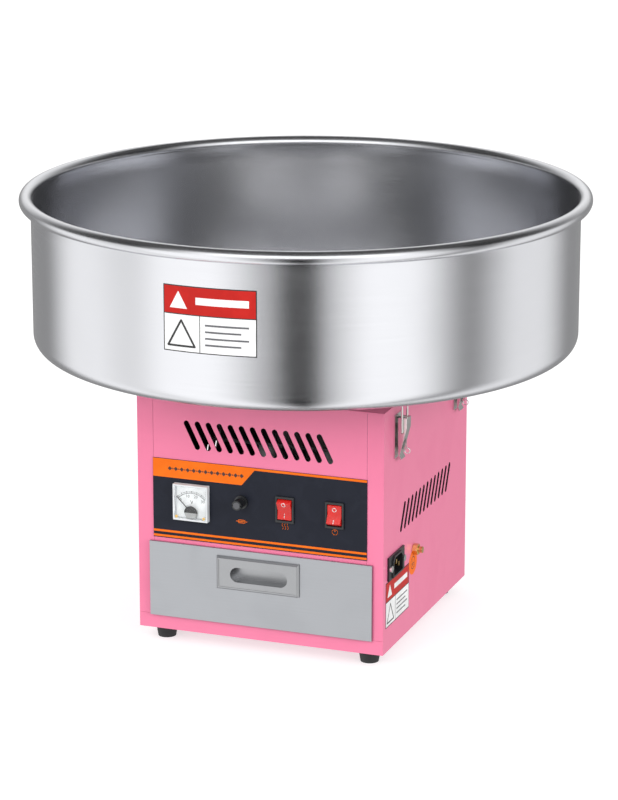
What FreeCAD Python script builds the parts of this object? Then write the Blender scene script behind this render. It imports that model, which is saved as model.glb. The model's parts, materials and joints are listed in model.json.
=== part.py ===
import FreeCAD, Part
import os
import re
import Sketcher
from FreeCAD import Rotation, Vector

# Cotton candy machine. Millimetres, +Z up, front at -Y.
# The origin is on the floor under the bowl's axis, at the middle of the cabinet.

sizes = {
    # cabinet
    "cabinetWidth": 236, "cabinetDepth": 240, "cabinetHeight": 225, "footHeight": 13,
    "panelSheet": 1.2, "flangeWidth": 15.5, "lipHeight": 13.4, "seamGap": 0.2,
    "ventWidth": 5.2, "ventPitch": 10.6, "ventCount": 13, "ventLean": 10.4, "ventRise": 21.3,
    "ventDrop": 37.8, "ventShift": -1,
    "sideVentPitch": 10.8, "sideVentLean": 10.3, "sideVentRise": 21, "sideVentDrop": 110,
    "sideVentShift": -1.7, "topHoleRadius": 62,
    # feet and screws
    "footInset": 19, "footTopRadius": 10.5, "footTipRadius": 8.3, "screwRadius": 1.6,
    "screwHeadRadius": 3.1, "screwHead": 1.8, "screwLength": 8, "holeClearance": 0.2,
    # bowl and its seat
    "bowlRimRadius": 260, "bowlBeadRadius": 6.1, "bowlWallRadius": 249.5, "bowlDepth": 142.8,
    "bowlSheet": 1, "bowlCorner": 14, "bowlHoleRadius": 34, "bowlUpstand": 8, "seatGap": 26.4,
    "seatRadius": 66, "seatSheet": 2, "seatFlange": 14, "sealThickness": 2,
    # drawer
    "drawerFrontWidth": 214.5, "drawerFrontHeight": 71, "drawerFrontDepth": 3, "drawerShift": 1.2,
    "drawerSheet": 1, "drawerBoxWidth": 194, "drawerBoxDepth": 192, "drawerBoxHeight": 52,
    "drawerGap": 0.4, "runnerShelf": 10, "runnerGuide": 24, "runnerSetback": 8, "runnerGap": 0.3,
    "handleWidth": 79.5, "handleHeight": 31, "handleDepth": 2.6, "handleBevel": 1.5, "handleRise": 49,
    "recessLength": 55, "recessHeight": 14, "recessDepth": 12.5, "recessDrop": 0.5, "recessShift": 1.3,
    # control panel
    "overlayWidth": 205.5, "overlayHeight": 75, "overlaySheet": 0.8, "overlayRise": 88,
    "meterX": -64.5, "meterRise": 36.8, "meterSize": 33.5, "meterDepth": 5.6, "meterWall": 1.5,
    "meterBarrel": 13.5, "meterBack": 22, "dialSheet": 0.5, "windowSheet": 1,
    "needleLength": 20, "needleWidth": 0.7, "needleDrop": 9.5, "needleSweep": 45,
    "fuseX": -16.6, "fuseRise": 42, "fuseRingRadius": 6.2, "fuseRing": 2.5, "fuseCapRadius": 4.4,
    "fuseCapLength": 10, "fuseCapSlot": 1.2, "fuseCapSlotDepth": 1.5, "fuseBarrel": 5,
    "fuseBack": 34, "fuseRadius": 2.5, "fuseLength": 20,
    "switchRise": 39.3, "heatX": 25.2, "powerX": 72.6, "bezelWidth": 17.7, "bezelHeight": 24.5,
    "bezelDepth": 2.2, "rockerWidth": 13.4, "rockerRadius": 9.8, "rockerFront": 6,
    "rockerValley": 3.4, "rockerBack": 3, "rockerTilt": 12, "rockerGap": 0.25, "switchBack": 20,
    "pivotDepth": 1.5, "switchWall": 1,
    # mains inlet and earth terminal
    "inletY": -88, "inletRise": 77.5, "inletWidth": 27, "inletHeight": 19.6, "inletChamfer": 4,
    "inletProud": 3.5, "inletFlangeWidth": 42, "inletFlangeHeight": 22, "inletFlange": 2,
    "inletScrewSpacing": 35, "inletBack": 19, "inletWall": 1.6, "inletSocket": 16,
    "pinWidth": 4, "pinThickness": 2, "pinSpacing": 7, "pinDrop": 2, "pinLength": 22,
    "pinRecess": 2,
    "earthY": -36, "earthRise": 75, "earthRadius": 3, "earthProud": 9, "earthNutRadius": 5.4,
    "earthNut": 5, "earthCollar": 2, "hexFlat": 0.866,
    # latches
    "latchY": 85, "latchPivotDrop": 14, "latchWidth": 18, "latchPlate": 1.2, "latchProud": 7,
    "latchEar": 3, "latchNeck": 2, "latchEyeRadius": 2.5, "latchPinRadius": 1.2, "latchPinHalf": 5.9,
    "latchFoot": 2, "latchTop": 6, "lugThickness": 1.5, "lugDrop": 27, "lugHeight": 8, "lugProud": 2,
    "lugEyeDrop": 23, "lugEyeRadius": 1.6, "lugEyeInset": 0.6, "leverHalf": 5.7, "leverLength": 32,
    "leverBack": 4, "leverTop": 3, "leverCrown": 4, "leverShoulder": 6, "leverNeck": 8, "leverToe": 4.4,
    "leverToeBack": 2, "leverLip": 1.8, "leverLipDrop": 3.2, "leverLipThickness": 0.8, "leverOverrun": 1,
    "gateHalf": 1.6, "gateTop": 17, "gateBottom": 29,
    "loopDrop": 10, "loopHalf": 7.3, "loopWire": 1, "loopRise": 25.5, "loopEnd": 4.6,
    "runClearance": 0.05, "keeperWidth": 10, "keeperGap": 0.3,
    # spinning head
    "headRise": 18, "headRadius": 70, "headSheet": 2, "bandHeight": 26, "bandSheet": 1.2,
    "bandSlotWidth": 1.2, "bandSlotHeight": 18, "bandSlots": 60, "coilRadius": 58, "coilWire": 3,
    "coverRise": 16, "cupRadius": 26, "hubRadius": 14, "hubHeight": 12, "headScrewCircle": 48,
    "headScrewRadius": 2, "headScrewHead": 3, "headScrewEnd": 1, "hubNeck": 4, "hubChamfer": 3, "bandInset": 2,
    "coverShoulder": 6, "coverRoof": 3.2, "stemRadius": 2.4,
    # drive
    "shaftRadius": 6, "shaftNutRadius": 9, "motorPlateDrop": 52, "motorPlateSize": 148, "motorPlate": 3,
    "standoffSpacing": 124, "standoffRadius": 4, "motorRadius": 44, "motorHeight": 52,
    "motorShell": 2, "bellHeight": 10, "bearingRadius": 13, "bearingHeight": 8, "statorBore": 31,
    "rotorRadius": 30.5, "rotorHeight": 40, "bushRadius": 12, "bushHeight": 38, "bushRise": 11,
    "ringRadius": 16, "ringHeight": 7, "ringSpacing": 15, "brushGap": 0.3, "brushLength": 22,
    "brushWidth": 6, "brushHeight": 5, "holderNear": 24, "holderLength": 26, "holderWidth": 18,
    "holderHeight": 45,
    # electrical parts behind the drawer
    "terminalLength": 60, "terminalWidth": 16, "terminalHeight": 16, "rearStandoff": 24,
    "capacitorRadius": 14, "capacitorHeight": 62, "capacitorX": -80,
}

doc = FreeCAD.newDocument("CottonCandyMachine")
sheet = doc.addObject("Spreadsheet::Sheet", "Sizes")
for row, (name, size) in enumerate(sizes.items(), 1):
    sheet.set("A%d" % row, name)
    sheet.set("B%d" % row, str(size))
    sheet.setAlias("B%d" % row, name)
doc.recompute()

nodes = []

# Heights and places that several sub-parts share, written in the sheet's words.
floorTop = "(footHeight + panelSheet)"
cabinetTop = "(footHeight + cabinetHeight)"
panelTop = "(footHeight + cabinetHeight - panelSheet)"
bowlBase = "(footHeight + cabinetHeight + seatGap)"
drawerBase = "(footHeight + lipHeight)"
overlayBase = "(footHeight + overlayRise)"
frontFace = "(cabinetDepth/2)"
overlayFace = "(cabinetDepth/2 + overlaySheet)"
sideFace = "(cabinetWidth/2)"
switchZ = "(footHeight + overlayRise + switchRise)"
fuseZ = "(footHeight + overlayRise + fuseRise)"
meterZ = "(footHeight + overlayRise + meterRise)"
meterFront = "(cabinetDepth/2 + overlaySheet + meterDepth)"
dialFace = "(cabinetDepth/2 + overlaySheet + dialSheet)"
inletZ = "(footHeight + inletRise)"
earthZ = "(footHeight + earthRise)"
latchZ = "(footHeight + cabinetHeight - latchPivotDrop)"
keeperLip = "(%s + loopRise - loopWire - keeperGap)" % latchZ
headBase = "(footHeight + cabinetHeight + seatGap + headRise)"
bandBase = "(%s + headSheet)" % headBase
coverBase = "(%s + bandHeight)" % bandBase
plateBase = "(footHeight + cabinetHeight - motorPlateDrop - motorPlate)"
plateTop = "(footHeight + cabinetHeight - motorPlateDrop)"
motorBase = "(%s - bellHeight - motorHeight)" % plateBase
bushBase = "(%s + bushRise)" % plateTop
drawerBoxBase = "(%s + drawerSheet + holeClearance)" % drawerBase


def linked(text):
    """The same expression with every size read from the sheet."""
    return re.sub(r"[A-Za-z]\w*", lambda word: "Sizes." + word[0] if word[0] in sizes else word[0], str(text))


def value(text):
    result = sheet.evalExpression(linked(text))
    return float(getattr(result, "Value", result))


def bind(thing, path, text):
    thing.setExpression(path, linked(text))


def place(thing, x=0, y=0, z=0):
    for letter, text in zip("xyz", (x, y, z)):
        bind(thing, "Placement.Base." + letter, text)


def keep(thing, label):
    thing.Label = label
    nodes.append(thing)
    return thing


# Part primitives and booleans

def block(x, y, z, length, width, height):
    thing = doc.addObject("Part::Box", "Block")
    for path, text in (("Length", length), ("Width", width), ("Height", height)):
        bind(thing, path, text)
    place(thing, x, y, z)
    return thing


def sideBlock(side, near, far, y, z, width, height):
    """A block from one distance beyond the cabinet's side face to another."""
    x = "%s + %s" % (sideFace, near) if side > 0 else "-(%s + %s)" % (sideFace, far)
    return block(x, y, z, "(%s) - (%s)" % (far, near), width, height)


turns = {"x": Rotation(Vector(0, 1, 0), 90), "y": Rotation(Vector(1, 0, 0), -90), "z": Rotation()}


def rod(axis, x, y, z, radius, length):
    """A cylinder that starts at a point and runs along +axis."""
    thing = doc.addObject("Part::Cylinder", "Rod")
    bind(thing, "Radius", radius)
    bind(thing, "Height", length)
    thing.Placement.Rotation = turns[axis]
    place(thing, x, y, z)
    return thing


def joined(things):
    thing = doc.addObject("Part::MultiFuse", "Joined")
    thing.Shapes = things
    return thing


def cutAway(base, tools):
    thing = doc.addObject("Part::Cut", "Cut")
    thing.Base = base
    thing.Tool = tools[0] if len(tools) == 1 else joined(tools)
    return thing


def grouped(label, things):
    thing = doc.addObject("Part::Compound", label)
    thing.Links = things
    return keep(thing, label)


# PartDesign bodies

def newBody(label):
    return keep(doc.addObject("PartDesign::Body", label), label)


def originPart(body, role):
    return next(part for part in body.Origin.OriginFeatures if part.Role == role)


def newSketch(body, plane, offset=0):
    sketch = body.newObject("Sketcher::SketchObject", body.Label + "_sketch")
    sketch.AttachmentSupport = (originPart(body, plane), [""])
    sketch.MapMode = "FlatFace"
    bind(sketch, "AttachmentOffset.Base.z", offset)
    return sketch


def pin(sketch, geometry, point, x, y):
    """Hold one point of a sketch at a place given by two expressions."""
    for kind, text, axis in (("DistanceX", x, -2), ("DistanceY", y, -1)):
        if abs(value(text)) < 1e-9:
            sketch.addConstraint(Sketcher.Constraint("PointOnObject", geometry, point, axis))
        else:
            index = sketch.addConstraint(Sketcher.Constraint(kind, -1, 1, geometry, point, value(text)))
            bind(sketch, "Constraints[%d]" % index, text)


def polygon(sketch, points, closed=True):
    first = sketch.GeometryCount
    corners = [Vector(value(x), value(y), 0) for x, y in points]
    count = len(points) if closed else len(points) - 1
    for i in range(count):
        sketch.addGeometry(Part.LineSegment(corners[i], corners[(i + 1) % len(points)]))
    for i in range(count if closed else count - 1):
        sketch.addConstraint(Sketcher.Constraint("Coincident", first + i, 2, first + (i + 1) % count, 1))
    for i in range(count):
        pin(sketch, first + i, 1, *points[i])
    if not closed:
        pin(sketch, first + count - 1, 2, *points[-1])


def rectangle(sketch, x0, y0, x1, y1):
    polygon(sketch, [(x0, y0), (x1, y0), (x1, y1), (x0, y1)])


def circle(sketch, x, y, radius):
    index = sketch.addGeometry(Part.Circle(Vector(value(x), value(y), 0), Vector(0, 0, 1), value(radius)))
    pin(sketch, index, 3, x, y)
    held = sketch.addConstraint(Sketcher.Constraint("Radius", index, value(radius)))
    bind(sketch, "Constraints[%d]" % held, radius)


def slot(sketch, x0, y0, x1, y1, radius):
    """A round-ended slot between two centres."""
    start = Vector(value(x0), value(y0), 0)
    end = Vector(value(x1), value(y1), 0)
    reach = value(radius)
    along = (end - start).normalize()
    across = Vector(-along.y, along.x, 0) * reach
    up = Vector(0, 0, 1)
    first = sketch.GeometryCount
    angle = Vector(1, 0, 0).getAngle(across) * (1 if across.y >= 0 else -1)
    half = 3.141592653589793
    sketch.addGeometry(Part.ArcOfCircle(Part.Circle(start, up, reach), angle, angle + half))
    sketch.addGeometry(Part.ArcOfCircle(Part.Circle(end, up, reach), angle + half, angle + 2 * half))
    sketch.addGeometry(Part.LineSegment(start - across, end - across))
    sketch.addGeometry(Part.LineSegment(end + across, start + across))
    for a, enda, b, endb in ((0, 2, 2, 1), (2, 2, 1, 1), (1, 2, 3, 1), (3, 2, 0, 1)):
        sketch.addConstraint(Sketcher.Constraint("Tangent", first + a, enda, first + b, endb))
    sketch.addConstraint(Sketcher.Constraint("Equal", first, first + 1))
    held = sketch.addConstraint(Sketcher.Constraint("Radius", first, reach))
    bind(sketch, "Constraints[%d]" % held, radius)
    pin(sketch, first, 3, x0, y0)
    pin(sketch, first + 1, 3, x1, y1)


def feature(body, kind, sketch, **settings):
    thing = body.newObject("PartDesign::" + kind, body.Label + "_" + kind.lower())
    thing.Profile = sketch
    for name, setting in settings.items():
        if isinstance(setting, str):
            bind(thing, name, setting)
        else:
            setattr(thing, name, setting)
    body.Tip = thing
    return thing


def revolve(body, points, kind="Revolution"):
    """Turn a closed outline of (radius, height) points about the Z axis."""
    sketch = newSketch(body, "XZ_Plane")
    polygon(sketch, points)
    return feature(body, kind, sketch, ReferenceAxis=(sketch, ["V_Axis"]))


def revolveCircle(body, x, y, radius, hollow=None):
    sketch = newSketch(body, "XZ_Plane")
    circle(sketch, x, y, radius)
    if hollow:
        circle(sketch, x, y, hollow)
    return feature(body, "Revolution", sketch, ReferenceAxis=(sketch, ["V_Axis"]))


def along(body, made, sketch, length, count):
    pattern = body.newObject("PartDesign::LinearPattern", body.Label + "_row")
    pattern.Originals = [made]
    pattern.Direction = (sketch, ["H_Axis"])
    bind(pattern, "Length", length)
    bind(pattern, "Occurrences", count)
    body.Tip = pattern


def around(body, made, count):
    pattern = body.newObject("PartDesign::PolarPattern", body.Label + "_ring")
    pattern.Originals = [made]
    pattern.Axis = (originPart(body, "Z_Axis"), [""])
    pattern.Angle = 360
    bind(pattern, "Occurrences", count)
    body.Tip = pattern


def dressEdges(body, kind, size, chosen):
    """Round or bevel the edges of the body's tip that the test picks."""
    doc.recompute()
    base = body.Tip
    names = ["Edge%d" % i for i, edge in enumerate(base.Shape.Edges, 1) if chosen(edge)]
    if not names:
        raise ValueError("no edge to dress on " + body.Label)
    thing = body.newObject("PartDesign::" + kind, body.Label + "_" + kind.lower())
    thing.Base = (base, names)
    bind(thing, "Radius" if kind == "Fillet" else "Size", size)
    body.Tip = thing


def near(a, b):
    return abs(a - b) < 1e-4


# Cabinet

def ventRow(body, plane, offset, lean, rise, pitch, shift, drop, flip):
    """A row of slanted, round-ended vent slots cut through a panel."""
    sketch = newSketch(body, plane, offset)
    middle = "(%s - (ventCount - 1)*%s/2)" % (shift, pitch)
    height = "(%s - %s)" % (cabinetTop, drop)
    slot(sketch, "%s + %s/2" % (middle, lean), "%s - %s/2" % (height, rise),
         "%s - %s/2" % (middle, lean), "%s + %s/2" % (height, rise), "ventWidth/2")
    made = feature(body, "Pocket", sketch, Length="panelSheet", Reversed=flip)
    along(body, made, sketch, "(ventCount - 1)*" + pitch, "ventCount")


def makeBaseTray():
    body = newBody("base_tray")
    floor = newSketch(body, "XY_Plane", "footHeight")
    rectangle(floor, "-" + sideFace, "-" + frontFace, sideFace, frontFace)
    for x in ("-(cabinetWidth/2 - footInset)", "(cabinetWidth/2 - footInset)"):
        for y in ("-(cabinetDepth/2 - footInset)", "(cabinetDepth/2 - footInset)"):
            circle(floor, x, y, "screwRadius + holeClearance")
    feature(body, "Pad", floor, Length="panelSheet")
    lip = newSketch(body, "XZ_Plane", frontFace)
    rectangle(lip, "-" + sideFace, "footHeight", sideFace, "footHeight + lipHeight")
    feature(body, "Pad", lip, Length="panelSheet", Reversed=True)


def makeSidePanel(label, side):
    body = newBody(label)
    outer = "%d*%s" % (side, sideFace)
    inner = "%d*(cabinetWidth/2 - panelSheet)" % side
    fold = "%d*(cabinetWidth/2 - flangeWidth)" % side
    front = "-" + frontFace
    section = newSketch(body, "XY_Plane", floorTop)
    polygon(section, [(outer, front), (outer, frontFace), (fold, frontFace),
                      (fold, "cabinetDepth/2 - panelSheet"), (inner, "cabinetDepth/2 - panelSheet"),
                      (inner, "panelSheet - cabinetDepth/2"), (fold, "panelSheet - cabinetDepth/2"),
                      (fold, front)])
    feature(body, "Pad", section, Length="cabinetHeight - 2*panelSheet")
    notch = newSketch(body, "XZ_Plane", frontFace)
    rectangle(notch, "%d*(cabinetWidth/2 - flangeWidth - 1)" % side, "footHeight",
              "%d*(cabinetWidth/2 + 1)" % side, "footHeight + lipHeight + seamGap")
    feature(body, "Pocket", notch, Length="panelSheet")
    ventRow(body, "YZ_Plane", outer, "-sideVentLean", "sideVentRise", "sideVentPitch",
            "sideVentShift", "sideVentDrop", side < 0)
    screws = newSketch(body, "XZ_Plane", "-" + frontFace)
    for z in rearScrewHeights:
        circle(screws, "%d*(cabinetWidth/2 - flangeWidth/2)" % side, z, "screwRadius + holeClearance")
    feature(body, "Pocket", screws, Length="panelSheet", Reversed=True)
    if side > 0:
        ports = newSketch(body, "YZ_Plane", outer)
        rectangle(ports, "inletY - inletWidth/2 - holeClearance", "%s - inletHeight/2 - holeClearance" % inletZ,
                  "inletY + inletWidth/2 + holeClearance", "%s + inletHeight/2 + holeClearance" % inletZ)
        circle(ports, "earthY", earthZ, "earthRadius + holeClearance")
        for end in (-1, 1):
            circle(ports, "inletY + %d*inletScrewSpacing/2" % end, inletZ, "screwRadius + holeClearance")
        feature(body, "Pocket", ports, Length="panelSheet")


rearScrewHeights = ("footHeight + 18", "footHeight + cabinetHeight/2", "footHeight + cabinetHeight - 18")


def makeFrontPanel():
    body = newBody("front_panel")
    half = "(cabinetWidth/2 - flangeWidth - seamGap)"
    plate = newSketch(body, "XZ_Plane", frontFace)
    rectangle(plate, "-" + half, "%s + drawerFrontHeight - 5" % drawerBase, half, panelTop)
    feature(body, "Pad", plate, Length="panelSheet", Reversed=True)
    ventRow(body, "XZ_Plane", frontFace, "ventLean", "ventRise", "ventPitch", "ventShift", "ventDrop", False)
    ports = newSketch(body, "XZ_Plane", frontFace)
    controlCutouts(ports)
    feature(body, "Pocket", ports, Length="panelSheet")


def controlCutouts(sketch):
    """The holes that the instruments pass through, in the panel and in its overlay."""
    circle(sketch, "meterX", meterZ, "meterBarrel + holeClearance")
    circle(sketch, "fuseX", fuseZ, "fuseBarrel + holeClearance")
    for x in ("heatX", "powerX"):
        half = "(rockerWidth/2 + rockerGap + 1 + holeClearance)"
        tall = "(rockerRadius + rockerGap + 1 + holeClearance)"
        rectangle(sketch, "%s - %s" % (x, half), "%s - %s" % (switchZ, tall),
                  "%s + %s" % (x, half), "%s + %s" % (switchZ, tall))


def makeOverlay():
    body = newBody("control_overlay")
    plate = newSketch(body, "XZ_Plane", frontFace)
    rectangle(plate, "-overlayWidth/2", overlayBase, "overlayWidth/2", "%s + overlayHeight" % overlayBase)
    feature(body, "Pad", plate, Length="overlaySheet")
    ports = newSketch(body, "XZ_Plane", overlayFace)
    controlCutouts(ports)
    feature(body, "Pocket", ports, Length="overlaySheet")


def makeRearPanel():
    body = newBody("rear_panel")
    half = "(cabinetWidth/2 - panelSheet - seamGap)"
    plate = newSketch(body, "XZ_Plane", "panelSheet - cabinetDepth/2")
    rectangle(plate, "-" + half, floorTop, half, panelTop)
    for side in (-1, 1):
        for z in rearScrewHeights:
            circle(plate, "%d*(cabinetWidth/2 - flangeWidth/2)" % side, z, "screwRadius + holeClearance")
    feature(body, "Pad", plate, Length="panelSheet")
    ventRow(body, "XZ_Plane", "panelSheet - cabinetDepth/2", "ventLean", "ventRise", "ventPitch",
            "ventShift", "ventDrop", True)


def makeTopPlate():
    body = newBody("top_plate")
    plate = newSketch(body, "XY_Plane", panelTop)
    rectangle(plate, "-" + sideFace, "-" + frontFace, sideFace, frontFace)
    circle(plate, 0, 0, "topHoleRadius")
    for x in (-1, 1):
        for y in (-1, 1):
            circle(plate, "%d*standoffSpacing/2" % x, "%d*standoffSpacing/2" % y,
                   "screwRadius + holeClearance")
    feature(body, "Pad", plate, Length="panelSheet")


def makeFeet():
    feet = []
    for x in (-1, 1):
        for y in (-1, 1):
            foot = doc.addObject("Part::Cone", "Foot")
            bind(foot, "Radius1", "footTipRadius")
            bind(foot, "Radius2", "footTopRadius")
            bind(foot, "Height", "footHeight")
            hollow = rod("z", 0, 0, "footHeight - screwLength", "screwRadius", "screwLength")
            well = cutAway(foot, [hollow])
            place(well, "%d*(cabinetWidth/2 - footInset)" % x, "%d*(cabinetDepth/2 - footInset)" % y)
            feet.append(well)
    grouped("rubber_feet", feet)


def screw(axis, x, y, z, sign):
    """A pan-head screw: x, y, z is the seat of its head, which stands out along sign * axis."""
    at = dict(zip("xyz", (x, y, z)))
    start = dict(at)
    start[axis] = "%s - %s" % (at[axis], "screwHead" if sign < 0 else 0)
    head = rod(axis, start["x"], start["y"], start["z"], "screwHeadRadius", "screwHead")
    start[axis] = "%s - %s" % (at[axis], "screwLength" if sign > 0 else 0)
    shank = rod(axis, start["x"], start["y"], start["z"], "screwRadius", "screwLength")
    return joined([head, shank])


def makeScrews():
    screws = []
    for side in (-1, 1):
        for z in rearScrewHeights:
            screws.append(screw("y", "%d*(cabinetWidth/2 - flangeWidth/2)" % side, frontFace, z, 1))
        screws.append(screw("x", "%s + inletFlange" % sideFace, "inletY + %d*inletScrewSpacing/2" % side,
                            inletZ, 1))
        for y in (-1, 1):
            screws.append(screw("z", "%d*(cabinetWidth/2 - footInset)" % side,
                                "%d*(cabinetDepth/2 - footInset)" % y, floorTop, 1))
            screws.append(screw("z", "%d*standoffSpacing/2" % side, "%d*standoffSpacing/2" % y, cabinetTop, 1))
    grouped("cabinet_screws", screws)


# Bowl

def makeBowl():
    body = newBody("bowl")
    wall = "bowlWallRadius"
    rim = "(%s + bowlDepth - bowlBeadRadius)" % bowlBase
    hole = "bowlHoleRadius"
    revolve(body, [(hole, bowlBase), (wall, bowlBase), (wall, rim), (wall + " - bowlSheet", rim),
                   (wall + " - bowlSheet", bowlBase + " + bowlSheet"),
                   (hole + " + bowlSheet", bowlBase + " + bowlSheet"),
                   (hole + " + bowlSheet", bowlBase + " + bowlUpstand"),
                   (hole, bowlBase + " + bowlUpstand")])
    low = value(bowlBase)
    for radius, z, size in (("bowlWallRadius", low, "bowlCorner"),
                            ("bowlWallRadius - bowlSheet", low + value("bowlSheet"), "bowlCorner - bowlSheet")):
        reach = value(radius)
        dressEdges(body, "Fillet", size, lambda edge: len(edge.Vertexes) == 1 and near(edge.Vertexes[0].Z, z)
                   and near(edge.Curve.Radius, reach))
    revolveCircle(body, "bowlRimRadius - bowlBeadRadius", rim, "bowlBeadRadius", "bowlBeadRadius - bowlSheet")


def makeSeat():
    ring = newBody("bowl_seat_ring")
    under = "(%s - sealThickness)" % bowlBase
    revolve(ring, [("seatRadius", cabinetTop), ("seatRadius + seatFlange", cabinetTop),
                   ("seatRadius + seatFlange", cabinetTop + " + seatSheet"),
                   ("seatRadius + seatSheet", cabinetTop + " + seatSheet"),
                   ("seatRadius + seatSheet", under + " - seatSheet"),
                   ("seatRadius + seatFlange", under + " - seatSheet"),
                   ("seatRadius + seatFlange", under), ("seatRadius", under)])
    seal = newBody("bowl_seal")
    revolve(seal, [("seatRadius", under), ("seatRadius + seatFlange", under),
                   ("seatRadius + seatFlange", bowlBase), ("seatRadius", bowlBase)])


def makeKeepers():
    keepers = []
    for side in (-1, 1):
        for row in (-1, 1):
            y = "%d*latchY - keeperWidth/2" % row
            web = sideBlock(side, "latchPlate", "(2*latchPlate)", y, keeperLip + " - latchPlate",
                            "keeperWidth", "%s - %s + latchPlate" % (bowlBase, keeperLip))
            lip = sideBlock(side, "latchPlate", "(latchProud + 2*loopWire)", y, keeperLip + " - latchPlate",
                            "keeperWidth", "latchPlate")
            pad = sideBlock(side, "-keeperWidth", "(2*latchPlate)", y, bowlBase + " - latchPlate",
                            "keeperWidth", "latchPlate")
            keepers.append(joined([web, lip, pad]))
    grouped("bowl_keepers", keepers)


# Drawer

def makeDrawer():
    face = newBody("drawer_front")
    left = "(drawerShift - drawerFrontWidth/2)"
    right = "(drawerShift + drawerFrontWidth/2)"
    back = "(cabinetDepth/2 + drawerGap)"
    plate = newSketch(face, "XZ_Plane", back)
    rectangle(plate, left, drawerBase, right, drawerBase + " + drawerFrontHeight")
    feature(face, "Pad", plate, Length="drawerFrontDepth")
    hollow = newSketch(face, "XZ_Plane", back)
    rectangle(hollow, left + " + drawerSheet", drawerBase + " + drawerSheet", right + " - drawerSheet",
              drawerBase + " + drawerFrontHeight - drawerSheet")
    feature(face, "Pocket", hollow, Length="drawerFrontDepth - drawerSheet", Reversed=True)
    port = newSketch(face, "XZ_Plane", back + " + drawerFrontDepth")
    recess(port, "drawerSheet + holeClearance")
    feature(face, "Pocket", port, Length="drawerFrontDepth")

    box = newBody("drawer_box")
    half = "(drawerBoxWidth/2)"
    frontY = "-(%s + drawerFrontDepth - drawerSheet)" % back
    backY = "(drawerBoxDepth - cabinetDepth/2)"
    outline = newSketch(box, "XY_Plane", drawerBoxBase)
    rectangle(outline, "-" + half, frontY, half, backY)
    feature(box, "Pad", outline, Length="drawerBoxHeight")
    inside = newSketch(box, "XY_Plane", drawerBoxBase + " + drawerBoxHeight")
    rectangle(inside, "drawerSheet - " + half, frontY + " + drawerSheet", half + " - drawerSheet",
              backY + " - drawerSheet")
    feature(box, "Pocket", inside, Length="drawerBoxHeight - drawerSheet")
    port = newSketch(box, "XZ_Plane", "-" + frontY)
    recess(port, "drawerSheet + holeClearance")
    feature(box, "Pocket", port, Length="2*drawerSheet")

    handle = newBody("drawer_handle")
    seat = "(%s + drawerFrontDepth)" % back
    centre = "(footHeight + lipHeight + handleRise)"
    plate = newSketch(handle, "XZ_Plane", seat)
    rectangle(plate, "-handleWidth/2", centre + " - handleHeight/2", "handleWidth/2", centre + " + handleHeight/2")
    feature(handle, "Pad", plate, Length="handleDepth")
    outer = -value(seat) - value("handleDepth")
    dressEdges(handle, "Chamfer", "handleBevel",
               lambda edge: all(near(v.Y, outer) for v in edge.Vertexes) and len(edge.Vertexes) == 2)
    cup = newSketch(handle, "XZ_Plane", seat)
    recess(cup, "drawerSheet")
    feature(handle, "Pad", cup, Length="recessDepth - handleDepth", Reversed=True)
    finger = newSketch(handle, "XZ_Plane", seat + " + handleDepth")
    recess(finger, "0")
    feature(handle, "Pocket", finger, Length="recessDepth - drawerSheet")


def recess(sketch, wall):
    """The round-ended outline of the finger recess, larger all round by wall."""
    reach = "((recessLength - recessHeight)/2)"
    z = "(footHeight + lipHeight + handleRise - recessDrop)"
    slot(sketch, "recessShift - " + reach, z, "recessShift + " + reach, z, "recessHeight/2 + " + wall)


def makeRunners():
    runners = []
    start = "(footInset + runnerSetback - cabinetDepth/2)"
    for side in (-1, 1):
        inner = "(drawerBoxWidth/2 + drawerGap)"

        def strip(near, far, z, height):
            x = near if side > 0 else "-(%s)" % far
            return block(x, start, z, "(%s) - (%s)" % (far, near), "drawerBoxDepth - cabinetDepth/2 - " + start,
                         height)
        web = strip(inner, inner + " + panelSheet", floorTop, "lipHeight + runnerGuide")
        shelf = strip(inner + " - runnerShelf", inner, drawerBoxBase + " - runnerGap - panelSheet", "panelSheet")
        foot = strip(inner + " + panelSheet", inner + " + runnerShelf", floorTop, "panelSheet")
        runners.append(joined([web, shelf, foot]))
    grouped("drawer_runners", runners)


# Instruments

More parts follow.
